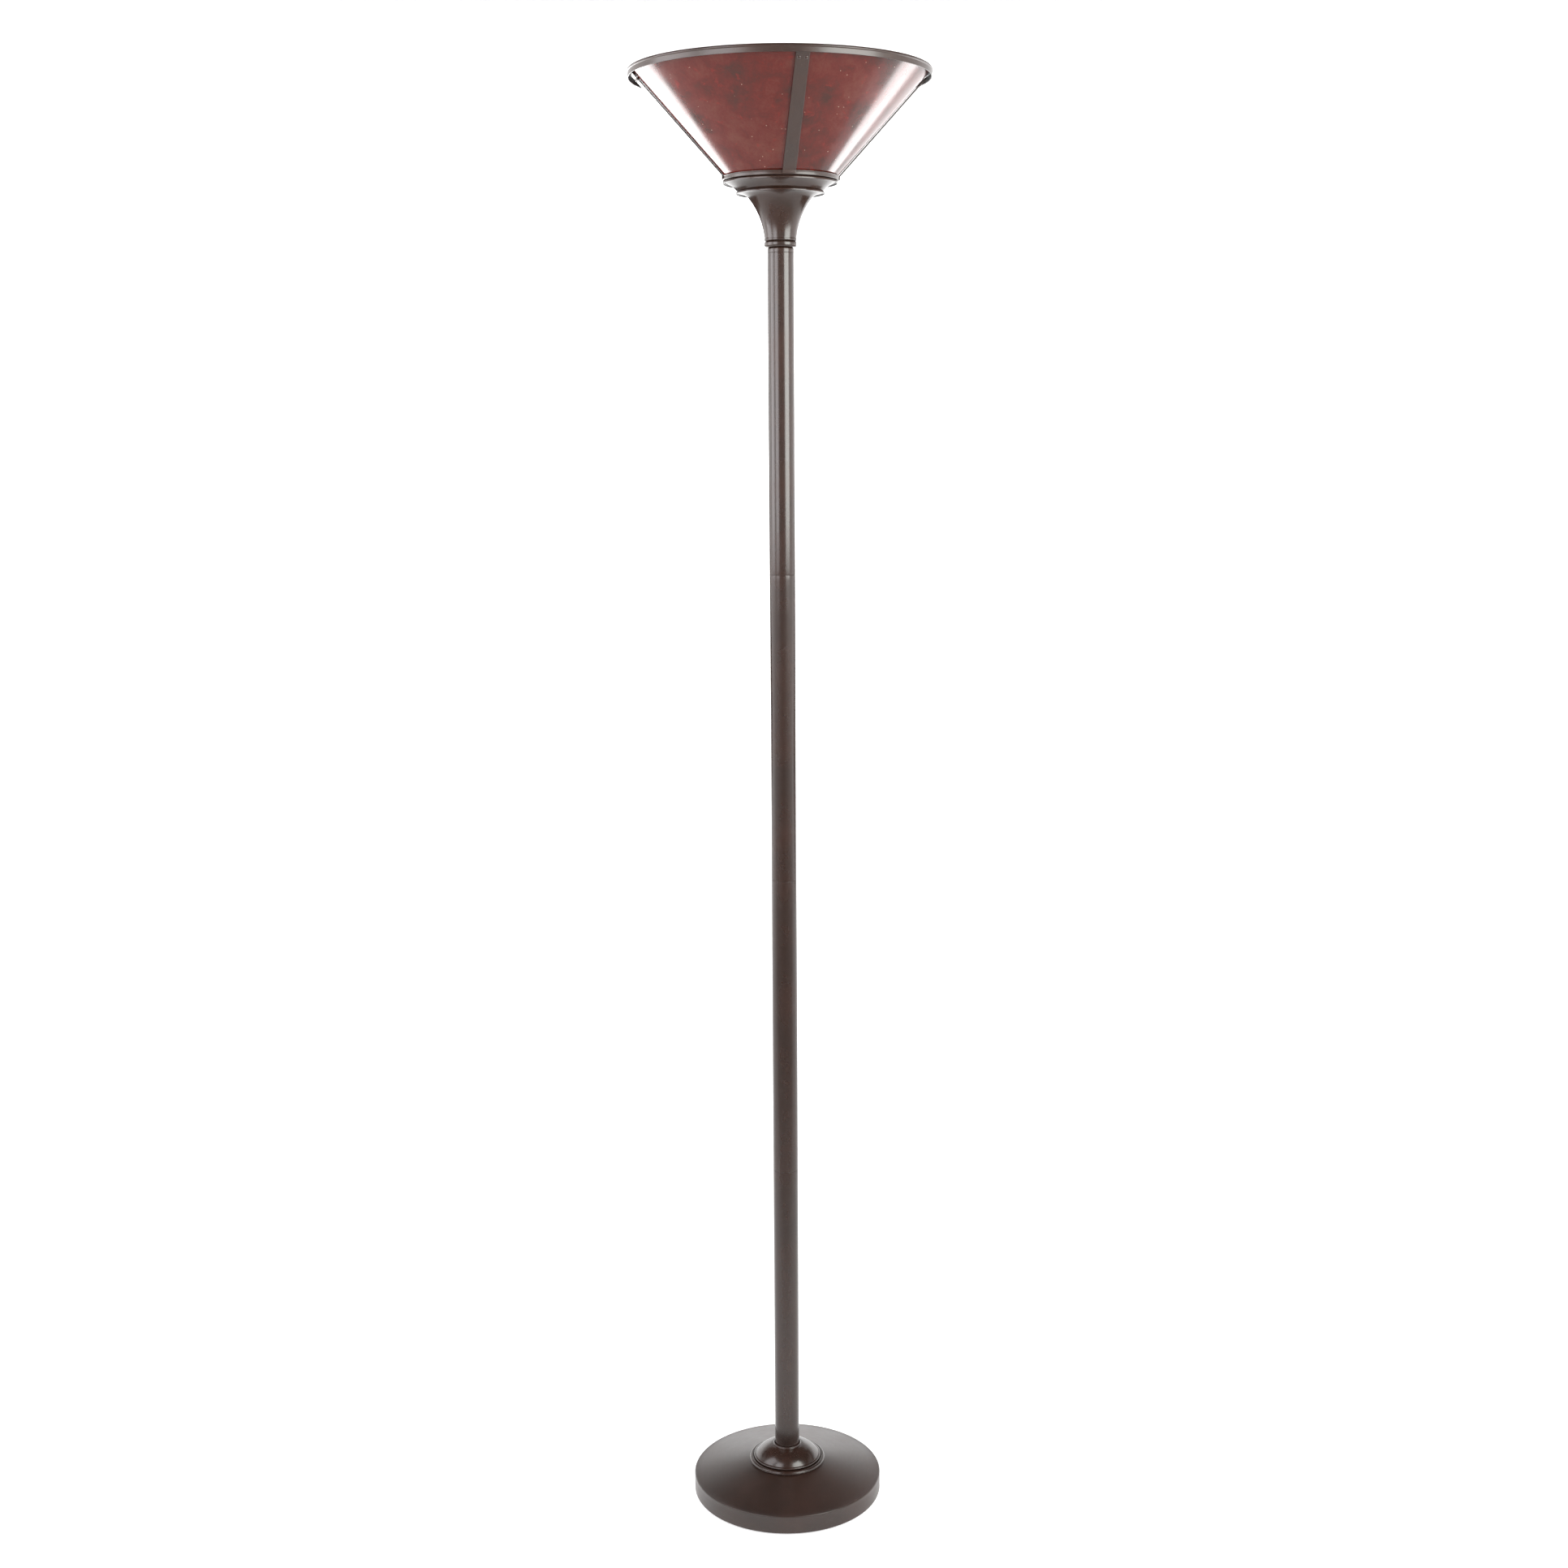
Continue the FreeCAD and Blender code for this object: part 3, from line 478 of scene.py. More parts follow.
def new_material(name, **constants):
    """A material with one Principled BSDF, as (material, tree, shader)."""
    material = bpy.data.materials.new(name)
    material.use_nodes = True
    tree = Tree(material.node_tree)
    shader = material.node_tree.nodes["Principled BSDF"]
    for key, value in constants.items():
        shader.inputs[key.replace("_", " ")].default_value = value
    return material, tree, shader


def bronze(name, cloud_size=22.0, gloss=0.0, dust=0.2, wear=0.09, relief=0.03):
    """Dark oil-rubbed bronze under satin lacquer."""
    finish = bpy.context.scene.lamp.finish
    material, tree, shader = new_material(name, IOR=1.5, Coat_Weight=0.1, Coat_Roughness=0.14)
    clouds = use_group(tree, "Rubbed Clouds", Size=cloud_size, Contrast=0.18)
    worn = use_group(tree, "Edge Wear And Dust", Edge=wear, Dust_Amount=dust)
    grain = use_group(tree, "Fine Grain", Grain_Size=700.0, Ripple_Size=50.0, Ripple=1.5)
    tone = tree.mix(clouds.outputs["Clouds"], rgba(finish.bronze), rgba(finish.bronze_warm))
    tone = tree.mix(worn.outputs["Worn"], tone, rgba(finish.bronze_worn))
    tone = tree.mix(tree.math("MULTIPLY", worn.outputs["Dust"], 0.5), tone, DUST)
    satin = tree.remap(clouds.outputs["Clouds"], 0, 1, finish.gloss + gloss - 0.035,
                       finish.gloss + gloss + 0.045)
    satin = tree.math("ADD", satin, tree.math("MULTIPLY", clouds.outputs["Streaks"], 0.03))
    tree.surface(shader, tone, satin, grain.outputs["Height"], relief, 0.0002)
    return material


def mica_material():
    """Sheets of split mica flakes bonded with shellac: clouded, flaked and glossy."""
    look = bpy.context.scene.lamp.mica
    material, tree, shader = new_material("Mica", IOR=1.4)
    where = tree.add("ShaderNodeTexCoord").outputs["Object"]
    drift = tree.add("ShaderNodeTexNoise", Scale=38.0, Detail=3.0, Vector=where).outputs["Color"]
    bent = tree.add("ShaderNodeVectorMath", operation="MULTIPLY_ADD")
    for socket, value in zip(bent.inputs, (drift, (0.03, 0.03, 0.03), where)):
        tree.feed(socket, value)
    wandering = bent.outputs[0]
    flakes = tree.add("ShaderNodeTexVoronoi", feature="SMOOTH_F1", Scale=60.0, Smoothness=0.8,
                      Vector=wandering)
    flake = tree.add("ShaderNodeSeparateColor", Color=flakes.outputs["Color"]).outputs[0]
    broad = tree.noise(16.0, where, detail=6.0, roughness=0.6)
    patches = tree.noise(45.0, wandering, detail=5.0, roughness=0.65)
    threads = tree.noise(420.0, where, detail=4.0, roughness=0.75)
    level = tree.weigh((broad, 0.9), (patches, 0.6), (threads, 0.35), (flake, 0.15))
    tone = tree.mix(tree.remap(level, 0.82, 1.02), rgba(look.dark), rgba(look.body))
    tone = tree.mix(tree.remap(level, 1.02, 1.25), tone, rgba(look.pale))
    rusty = tree.noise(75.0, wandering, detail=4.0, roughness=0.7)
    tone = tree.mix(tree.remap(rusty, 0.6, 0.75, 0.0, 0.75), tone, RUSTY_FLAKE)
    # Painted glints: a few scattered flakes get a pale colour that stands in for light caught by
    # them.
    glint = tree.add("ShaderNodeTexVoronoi", Scale=300.0, Vector=where)
    bright = tree.add("ShaderNodeSeparateColor", Color=glint.outputs["Color"]).outputs[2]
    painted_glint_mask = tree.math("MULTIPLY", tree.math("LESS_THAN", glint.outputs["Distance"], 0.14),
                      tree.math("GREATER_THAN", bright, 0.955))
    tone = tree.mix(tree.math("MULTIPLY", painted_glint_mask, 0.7), tone, PAINTED_GLINT)
    gloss = tree.remap(level, 0.8, 1.3, 0.15, 0.24)
    relief = tree.weigh((flake, 0.3), (threads, 0.4), (patches, 0.3))
    tree.surface(shader, tone, gloss, relief, 0.10, 0.0004)
    return material


def plain_metal(name, colour, dark, roughness, size=140.0, metallic=1.0, relief=0.05):
    """Bare or plated metal with light brushing, handling marks and darker clouds."""
    if name in bpy.data.materials:
        return bpy.data.materials[name]
    material, tree, shader = new_material(name, Metallic=metallic)
    clouds = use_group(tree, "Rubbed Clouds", Size=size, Contrast=0.2)
    worn = use_group(tree, "Edge Wear And Dust", Edge=0.03, Dust_Amount=0.1)
    grain = use_group(tree, "Fine Grain", Grain_Size=2400.0, Ripple_Size=240.0, Ripple=0.6)
    tone = tree.mix(clouds.outputs["Clouds"], rgba(dark), rgba(colour))
    tone = tree.mix(tree.math("MULTIPLY", worn.outputs["Worn"], 0.6), tone,
                    rgba([min(1, 1.25 * part) for part in colour]))
    rough = tree.math("ADD", roughness, tree.math("MULTIPLY", clouds.outputs["Streaks"], 0.12))
    tree.surface(shader, tone, rough, grain.outputs["Height"], relief, 0.0003)
    return material


def moulding(name, colour, roughness, speck=(0.1, 0.08, 0.06), grain_size=900.0, relief=0.08):
    """Moulded plastic, card, glaze or rubber with a fine skin."""
    if name in bpy.data.materials:
        return bpy.data.materials[name]
    material, tree, shader = new_material(name)
    clouds = use_group(tree, "Rubbed Clouds", Size=160.0, Contrast=0.22)
    grain = use_group(tree, "Fine Grain", Grain_Size=grain_size, Ripple_Size=120.0, Ripple=0.4)
    worn = use_group(tree, "Edge Wear And Dust", Edge=0.04, Dust_Amount=0.2)
    shade = [0.72 * part for part in colour]
    tone = tree.mix(clouds.outputs["Clouds"], rgba(shade), rgba(colour))
    tone = tree.mix(tree.math("MULTIPLY", worn.outputs["Worn"], 0.5), tone, rgba(speck))
    rough = tree.remap(clouds.outputs["Clouds"], 0, 1, roughness - 0.05, roughness + 0.07)
    tree.surface(shader, tone, rough, grain.outputs["Height"], relief, 0.0004)
    return material


def felt_material():
    """Needle felt: matted dark fibres with a few pale ones."""
    material, tree, shader = new_material("Felt", Sheen_Weight=0.35, Sheen_Roughness=0.6,
                                          Specular_IOR_Level=0.2)
    where = tree.add("ShaderNodeTexCoord").outputs["Object"]
    matted = tree.noise(700.0, where, detail=8.0, roughness=0.8)
    strands = tree.add("ShaderNodeTexWave", Scale=420.0, Distortion=14.0, Detail=4.0,
                       Detail_Scale=3.0, Vector=where).outputs["Fac"]
    fuzz = tree.weigh((matted, 0.7), (strands, 0.3))
    tone = tree.mix(tree.remap(fuzz, 0.3, 0.75), (0.012, 0.011, 0.011, 1), (0.06, 0.055, 0.052, 1))
    tree.surface(shader, tone, tree.remap(fuzz, 0.3, 0.7, 0.85, 1.0), fuzz, 0.5, 0.0006)
    return material


def bulb_glass_material():
    """White inside-frosted glass with a faint unevenness in the coating."""
    material, tree, shader = new_material("Frosted Glass", IOR=1.5, Coat_Weight=0.6,
                                          Coat_Roughness=0.05, Subsurface_Weight=0.25,
                                          Subsurface_Scale=0.004)
    clouds = use_group(tree, "Rubbed Clouds", Size=60.0, Contrast=0.25)
    grain = use_group(tree, "Fine Grain", Grain_Size=2600.0, Ripple_Size=200.0, Ripple=0.3)
    tone = tree.mix(clouds.outputs["Clouds"], (0.44, 0.435, 0.42, 1), (0.50, 0.497, 0.485, 1))
    rough = tree.remap(clouds.outputs["Clouds"], 0, 1, 0.34, 0.42)
    tree.surface(shader, tone, rough, grain.outputs["Height"], 0.03, 0.0002)
    return material


def brass_material():
    return plain_metal("Brass", (0.62, 0.42, 0.17), (0.42, 0.26, 0.09), 0.24)


def steel_material():
    return plain_metal("Zinc Plate", (0.52, 0.51, 0.48), (0.34, 0.33, 0.31), 0.3)


def iron_material():
    return plain_metal("Cast Iron", (0.10, 0.098, 0.094), (0.05, 0.048, 0.045), 0.62, size=70.0,
                       metallic=0.6, relief=0.35)


def phenolic_material():
    return moulding("Phenolic", (0.030, 0.022, 0.018), 0.32)


# Base


class LAMP_OT_base(bpy.types.Operator):
    """Build the base cover, its bead, the dome and the felt"""

    bl_idname = "lamp.base"
    bl_label = "Base"

    def execute(self, context):
        metal = bronze("Base Bronze", cloud_size=14.0, gloss=0.04, relief=0.008)
        turned_metal = bronze("Dome Bronze", cloud_size=30.0, gloss=-0.08, relief=0.008)
        wall = 1.5
        radius, low, top = extent("base_cover")
        edge = 25.5                   # height of the corner between the side and the top
        foot = extent("base_bead")[0]
        cover = sheet(path(
            (radius - 3.4, low + 0.2), (radius - 1.4, low + 0.1),
            (radius - 0.1, low + 1.4, 1.4),
            (radius - 0.1, edge - 2.6),
            (radius, edge - 2.1),
            (radius, edge - 1.5),
            (radius - 1.7, edge + 0.05, 1.7),
            (radius - 3.2, edge + 0.2),
            (foot + 1.2, top - 0.3),
            (foot - 0.6, top + 0.25, -6),
            (foot - 6, top),
            (NIPPLE_RADIUS + 0.2, top),
        ), wall)
        place(lathe("Base_Cover", cover, metal), "stand")

        outer, low, high = extent("base_bead")
        inner = 38
        bead = path(
            (inner, low), (outer - 0.9, low), (outer + 0.2, low + 0.6),
            (outer - 0.1, low + 3.1, 2.0),
            (outer - 2.2, high, 2.4), (outer - 4.4, high - 0.1),
            (outer - 5.4, high - 0.9), (inner, high - 0.9))
        place(lathe("Base_Bead", bead, turned_metal), "stand")

        outer, low, high = extent("base_dome")
        collar = 17.6
        dome = sheet(path(
            (outer - 1.1, low), (outer, low + 0.9, 1.3),
            (outer - 1.1, low + 2.7, 1.7), (outer - 2.5, low + 3.0, 3),
            (collar + 1.6, high - 2.2, 40),
            (collar, high - 1.3, -1.6),
            (collar, high - 0.7),
            (collar - 0.7, high, 0.7),
        ), wall)
        place(lathe("Base_Dome", dome, turned_metal), "stand")

        outer, low, high = extent("base_felt")
        felt = rounded([(0, low), (outer, low), (outer, high), (0, high)], 0.5)
        place(lathe("Base_Felt", felt, felt_material()), "stand")
        return {"FINISHED"}


# Pole


class LAMP_OT_pole(bpy.types.Operator):
    """Build the four pole tubes and the cap on top of them"""

    bl_idname = "lamp.pole"
    bl_label = "Pole"

    def execute(self, context):
        metal = bronze("Pole Bronze", cloud_size=18.0, gloss=-0.10, relief=0.008)
        chamfer = context.scene.lamp.shape.seam_chamfer / MM
        wall = 1.2
        for number in range(1, 5):
            name = f"Pole_Tube_{number}"
            outer, low, high = extent(name)
            bore = outer - wall
            tube = path(
                (bore, low), (outer - chamfer, low), (outer, low + chamfer, chamfer),
                (outer, high - chamfer), (outer - chamfer, high, chamfer), (bore, high))
            place(lathe(name, tube, metal, segments=96), "stand")
        outer, low, high = extent("pole_top_cap")
        bore, spigot = NIPPLE_RADIUS, outer - wall
        seam = extent("pole_tube_4")[2]
        cap = path(
            (bore, low), (spigot - 0.5, low), (spigot, low + 0.5), (spigot, seam),
            (outer - chamfer, seam), (outer + 0.05, seam + chamfer, chamfer),
            (outer + 0.05, high - 2.6), (outer - 2.5, high, 2.6), (bore, high))
        place(lathe("Pole_Top_Cap", cap, metal, segments=128), "stand")
        return {"FINISHED"}


# Neck and dish


class LAMP_OT_neck(bpy.types.Operator):
    """Build the bead, the flared bell and the dish under the shade"""

    bl_idname = "lamp.neck"
    bl_label = "Neck and Dish"

    def execute(self, context):
        metal = bronze("Neck Bronze", cloud_size=26.0, gloss=-0.07, relief=0.010)
        wall = 1.2
        bore = NIPPLE_RADIUS
        outer, low, high = extent("neck_bead")
        bead = path(
            (bore, low), (outer - 3.0, low), (outer - 1.2, low + 0.5, 2.4),
            (outer, low + 2.6, 2.9), (outer, low + 4.2),
            (outer - 1.5, high - 0.5, 2.2), (outer - 2.6, high - 0.2),
            (outer - 2.8, high), (bore, high))
        place(lathe("Neck_Bead", bead, metal), "stand")

        outer, low, _ = extent("neck_bell")
        lip = outer - wall
        foot = 19.3
        bell = sheet(path(
            (foot - 1.0, low), (foot, low + 1.4, 1.6),
            (foot - 0.25, low + 3.2, 3.0),
            (foot, low + 5.2),
            (38.2, low + 50.3, -87), (50.0, low + 55.2, -18),
            (lip - 0.9, low + 55.4),
            (lip - 0.1, low + 54.6, -0.9),
            (lip - 0.1, low + 54.2),
        ), wall)
        place(lathe("Neck_Bell", bell, metal), "stand")

        outer, low, high = extent("shade_dish")
        lip = outer - wall
        dish = sheet(path(
            (bore, low), (49.6, low), (51.6, low + 1.2, 3.4),
            (66.0, low + 10.9, -27), (lip - 0.1, low + 10.1, -1.0),
            (lip - 0.1, low + 9.3),
        ), wall)
        place(lathe("Shade_Dish", dish, metal), "stand")
        return {"FINISHED"}


# Shade


def cone_radius(height):
    """Radius of the mica's outer face at a height above the floor, in millimetres."""
    top = extent("mica_panel_1")[2]
    return CONE_TOP_RADIUS - CONE_SLOPE * (top - height)


def strap_directions(number):
    """Unit vectors straight out through a strap and along its width."""
    angle = STRAP_ANGLE + number * TURN / STRAP_COUNT
    return (Vector((math.cos(angle), math.sin(angle), 0)),
            Vector((-math.sin(angle), math.cos(angle), 0)))


class LAMP_OT_shade_metal(bpy.types.Operator):
    """Build the shade's rim channel, bottom ring and straps"""

    bl_idname = "lamp.shade_metal"
    bl_label = "Shade Metalwork"

    def execute(self, context):
        metal = bronze("Shade Bronze", cloud_size=20.0, gloss=0.02)
        wall = 1.2
        outer, low, high = extent("shade_rim")
        inner = 170.5
        rim = sheet(path(
            (outer - 0.2, low), (outer - 0.2, high - 3.6),
            (outer + 0.35, high - 2.9),
            (outer + 0.35, high - 1.3, 1.2),
            (outer - 1.5, high - 0.1, 1.7),
            (outer - 2.6, high - 0.5),
            (inner + 1.2, high - 0.5), (inner, high - 1.7, 1.2),
            (inner, high - 4.0),
        ), wall * 0.9)
        place(lathe("Shade_Rim", rim, metal, segments=256), "shade")

        outer, low, high = extent("shade_ring")
        skirt = 58
        seat = low + 2.6
        ring = sheet(path(
            (skirt, low), (skirt, seat - 0.6), (skirt + 0.6, seat, -0.6),
            (outer - 1.0, seat), (outer - 0.1, seat + 0.9, 0.9),
            (outer - 0.1, high - 1.4),
            (outer + 0.25, high - 0.9), (outer + 0.1, high, 0.7),
        ), wall * 0.9)
        place(lathe("Shade_Ring", ring, metal, segments=192), "shade")
        for number in range(STRAP_COUNT):
            self.strap(number, metal)
        return {"FINISHED"}

    def strap(self, number, metal):
        """One flat strap, softly crowned across its width, with rounded long edges."""
        name = f"Shade_Strap_{number + 1}"
        _, low, high = extent(name)
        ring = extent("shade_ring")[0]
        bend = low + STRAP_BEND
        line = path((ring, low + 0.1), (ring, bend - 1.0), (ring + 0.7, bend + 0.9, -2.6),
                    (ring + CONE_SLOPE * (high - bend), high - 0.4))
        line = line[:-1] + between(line[-2], line[-1], 40)[1:] + line[-1:]
        thickness, half, soft = 1.2, 7.85, 0.35
        section = rounded([(-half, 0.0), (half, 0.0), (half, thickness), (-half, thickness)], soft)
        dense = []
        for index, corner in enumerate(section):
            following = section[(index + 1) % len(section)]
            dense += between(corner, following, 12 if abs(following[0] - corner[0]) > half else 1)
        outward, sideways = strap_directions(number)

        def build(shape):
            rings = []
            for (radius, height), (left_r, left_z) in zip(line, normals_left(line)):
                ring_verts = []
                for across, out in dense:
                    crown = 0.18 * (1 - (across / half) ** 2) if out > thickness / 2 else 0.0
                    reach = out + crown
                    point = outward * (radius - left_r * reach) + sideways * across
                    point.z = height - left_z * reach
                    ring_verts.append(shape.verts.new(point * MM))
                rings.append(ring_verts)
            skin(shape, rings)
            shape.faces.new(rings[0][::-1])
            shape.faces.new(rings[-1])

        place(new_piece(name, build, metal), "shade")


class LAMP_OT_mica(bpy.types.Operator):
    """Build the four mica panels"""

    bl_idname = "lamp.mica"
    bl_label = "Mica Panels"

    def execute(self, context):
        look, material = context.scene.lamp.mica, mica_material()
        for number in range(STRAP_COUNT):
            self.panel(number, look, material)
        return {"FINISHED"}

    def panel(self, number, look, material):
        """One curved sheet between the middles of two straps."""
        name = f"Mica_Panel_{number + 1}"
        _, low, high = extent(name)
        thickness, fade_length = 2.03, 12.0
        rows = 60
        outer = [(cone_radius(height), height)
                 for height in (low + (high - low) * row / rows for row in range(rows + 1))]
        inner = [(radius - thickness, height) for radius, height in outer[::-1]]
        outline = rounded(outer + inner, look.edge_round / MM)
        gap = math.radians(0.4)
        start = STRAP_ANGLE + number * TURN / STRAP_COUNT + gap / 2

        def wander(radius, height, angle):
            spot = Vector((math.cos(angle) * 3.1, math.sin(angle) * 3.1,
                           height * MM * 17 + number * 9))
            fade = min(1, (height - low) / fade_length, (high - height) / fade_length)
            return radius + look.waviness / MM * fade * noise.noise(spot), height

        def build(shape):
            turn_outline(shape, outline, 72, wander, start, TURN / STRAP_COUNT - gap)

        place(new_piece(name, build, material), "shade")


# Pieces that repeat, made with geometry nodes


def geometry_tree(name, sizes):
    """An empty geometry tree with named float inputs, as (helper, inputs, output node)."""
    tree = bpy.data.node_groups.new(name, "GeometryNodeTree")
    tree.interface.new_socket("Geometry", in_out="INPUT", socket_type="NodeSocketGeometry")
    for label, default in sizes.items():
        socket = tree.interface.new_socket(label, in_out="INPUT", socket_type="NodeSocketFloat")
        socket.default_value = default
    tree.interface.new_socket("Geometry", in_out="OUTPUT", socket_type="NodeSocketGeometry")
    helper = Tree(tree)
    return helper, helper.add("NodeGroupInput"), helper.add("NodeGroupOutput")


class LAMP_OT_rivets(bpy.types.Operator):
    """Set the panel rivets through the straps"""

    bl_idname = "lamp.rivets"
    bl_label = "Panel Rivets"

    def execute(self, context):
        metal = bronze("Rivet Bronze", cloud_size=120.0, gloss=-0.06)
        sizes = {"Head Radius": context.scene.lamp.shape.rivet_head, "Shank Radius": 1.25 * MM,
                 "Tail Radius": 2.2 * MM, "Grip": 3.8 * MM}
        tree, given, result = geometry_tree("Rivets", sizes)
        head = tree.add("GeometryNodeMeshUVSphere", Segments=20, Rings=12,
                        Radius=given.outputs["Head Radius"])
        rod = tree.add("GeometryNodeMeshCylinder", Vertices=20, Depth=given.outputs["Grip"],
                       Radius=given.outputs["Shank Radius"])
        foot = tree.add("GeometryNodeMeshUVSphere", Segments=20, Rings=10,
                        Radius=given.outputs["Tail Radius"])
        join = tree.add("GeometryNodeJoinGeometry")
        for part, drop, flatness in ((head, 0.0, 0.5), (rod, -0.5, 1.0), (foot, -1.0, 0.4)):
            shift = tree.add("ShaderNodeCombineXYZ")
            tree.feed(shift.inputs["Z"], tree.math("MULTIPLY", given.outputs["Grip"], drop))
            moved = tree.add("GeometryNodeTransform", Geometry=part.outputs["Mesh"],
                             Translation=shift.outputs[0])
            moved.inputs["Scale"].default_value = (1.0, 1.0, flatness)
            tree.tree.links.new(moved.outputs[0], join.inputs[0])
        smooth = tree.add("GeometryNodeSetShadeSmooth", Geometry=join.outputs[0])
        lean = tree.add("GeometryNodeInputNamedAttribute", data_type="FLOAT_VECTOR")
        lean.inputs["Name"].default_value = "axis"
        turn = tree.add("FunctionNodeAlignEulerToVector", axis="Z")
        tree.feed(turn.inputs["Vector"], lean.outputs["Attribute"])
        copies = tree.add("GeometryNodeInstanceOnPoints", Points=given.outputs["Geometry"],
                          Instance=smooth.outputs[0], Rotation=turn.outputs[0])
        real = tree.add("GeometryNodeRealizeInstances", Geometry=copies.outputs[0])
        coloured = tree.add("GeometryNodeSetMaterial", Geometry=real.outputs[0])
        coloured.inputs["Material"].default_value = metal
        tree.feed(result.inputs["Geometry"], coloured.outputs[0])

        lean_angle = math.atan(CONE_SLOPE)
        ring = extent("shade_ring")[0]
        bend = extent("shade_strap_1")[1] + STRAP_BEND
        _, low, high = extent("panel_rivets")
        height = (low + high) / 2 + 0.05
        spacing, strap_thickness = 8.0, 1.25
        points, axes = [], []
        for number in range(STRAP_COUNT):
            outward, sideways = strap_directions(number)
            normal = outward * math.cos(lean_angle) - Vector((0, 0, math.sin(lean_angle)))
            for side in (-spacing / 2, spacing / 2):
                face = outward * (ring + CONE_SLOPE * (height - bend)) + sideways * side
                face.z = height
                points.append((face + normal * strap_thickness) * MM)
                axes.append(normal)
        piece = self.plant(tree.tree, sizes, points, axes)
        place(piece, "shade")
        return {"FINISHED"}

    def plant(self, tree, sizes, points, axes):
        """Runs the rivet tree over its points and keeps the result as a plain mesh."""
        seed = bpy.data.meshes.new("Rivet_Points")
        seed.from_pydata(points, [], [])
        lean = seed.attributes.new("axis", "FLOAT_VECTOR", "POINT")
        lean.data.foreach_set("vector", [part for axis in axes for part in axis])
        carrier = bpy.data.objects.new("Panel_Rivets", seed)
        bpy.context.scene.collection.objects.link(carrier)
        modifier = carrier.modifiers.new("Rivets", "NODES")
        modifier.node_group = tree
        for item in tree.interface.items_tree:
            if item.in_out == "INPUT" and item.name in sizes:
                modifier[item.identifier] = sizes[item.name]
        bpy.context.view_layer.update()
        graph = bpy.context.evaluated_depsgraph_get()
        mesh = bpy.data.meshes.new_from_object(carrier.evaluated_get(graph))
        carrier.modifiers.remove(modifier)
        carrier.data = mesh
        if not mesh.vertices:
            raise RuntimeError("the rivet tree made nothing")
        return carrier


# Socket, switch and bulb


def threaded(radius, low, high, depth, turned_by=0.0, wall=0.45, segments=72):
    """Builder of a thin sleeve with a rolled round thread."""
    rows = max(8, int((high - low) / THREAD_PITCH * 12))

    def build(shape):
        rings = []
        for column in range(segments):
            angle = TURN * column / segments
            ring = []
            for inset, levels in ((0.0, range(rows + 1)), (wall, range(rows, -1, -1))):
                for row in levels:
                    height = low + (high - low) * row / rows
                    ease = min(1, row / 10, (rows - row) / 10)
                    wave = math.cos(TURN * (height / THREAD_PITCH) - angle + turned_by)
                    reach = (radius - depth * ease * (0.5 - 0.5 * wave) - inset) * MM
                    ring.append(shape.verts.new((reach * math.cos(angle), reach * math.sin(angle),
                                                 height * MM)))
            rings.append(ring)
        skin(shape, rings + rings[:1])
    return build


class LAMP_OT_socket(bpy.types.Operator):
    """Build the socket shell, its cap and the threaded sleeve inside"""

    bl_idname = "lamp.socket"
    bl_label = "Socket"

    def execute(self, context):
        brass = brass_material()
        outer, low, high = extent("socket_shell")
        bore = outer - 0.8
        tall = high - low
        shell = path(
            (bore, low), (outer, low), (outer, low + 0.32 * tall),
            (outer - 0.45, low + 0.335 * tall), (outer - 0.45, low + 0.365 * tall),
            (outer, low + 0.38 * tall), (outer, low + 0.70 * tall),
            (outer - 0.45, low + 0.715 * tall), (outer - 0.45, low + 0.745 * tall),
            (outer, low + 0.76 * tall), (outer, high - 1.0),
            (outer - 0.9, high, 0.95), (bore - 0.4, high),
            (bore - 0.4, high - 0.5), (bore, high - 0.8))
        place(lathe("Socket_Barrel", shell, brass, segments=96), "stand", "socket_shell")

        outer, low, high = extent("socket_cap")
        hub = 7.2
        cap = path(
            (NIPPLE_RADIUS, low), (hub - 0.4, low), (hub, low + 0.4, 0.4),
            (hub, low + 3.2), (hub + 0.8, low + 4.0, -0.8),
            (outer - 1.6, low + 9.0, 22), (outer, low + 10.9, 2.2),
            (outer, high - 0.7), (outer + 0.25, high - 0.3),
            (outer - 0.1, high, 0.4), (outer - 0.8, high),
            (outer - 0.8, low + 11.3), (outer - 2.4, low + 9.8),
            (hub, low + 4.6), (NIPPLE_RADIUS, low + 4.6))
        place(lathe("Socket_Cap", cap, brass, segments=96), "stand")

        outer, low, high = extent("screw_shell")
        sleeve = new_piece("Screw_Sleeve", threaded(outer, low, high, 0.5), brass, 60)
        place(sleeve, "stand", "screw_shell")

        paint(brass, "centre_contact", "terminal_screws")
        paint(moulding("Insulating Card", (0.34, 0.24, 0.14), 0.75), "socket_liner")
        paint(phenolic_material(), "switch_body")
        return {"FINISHED"}


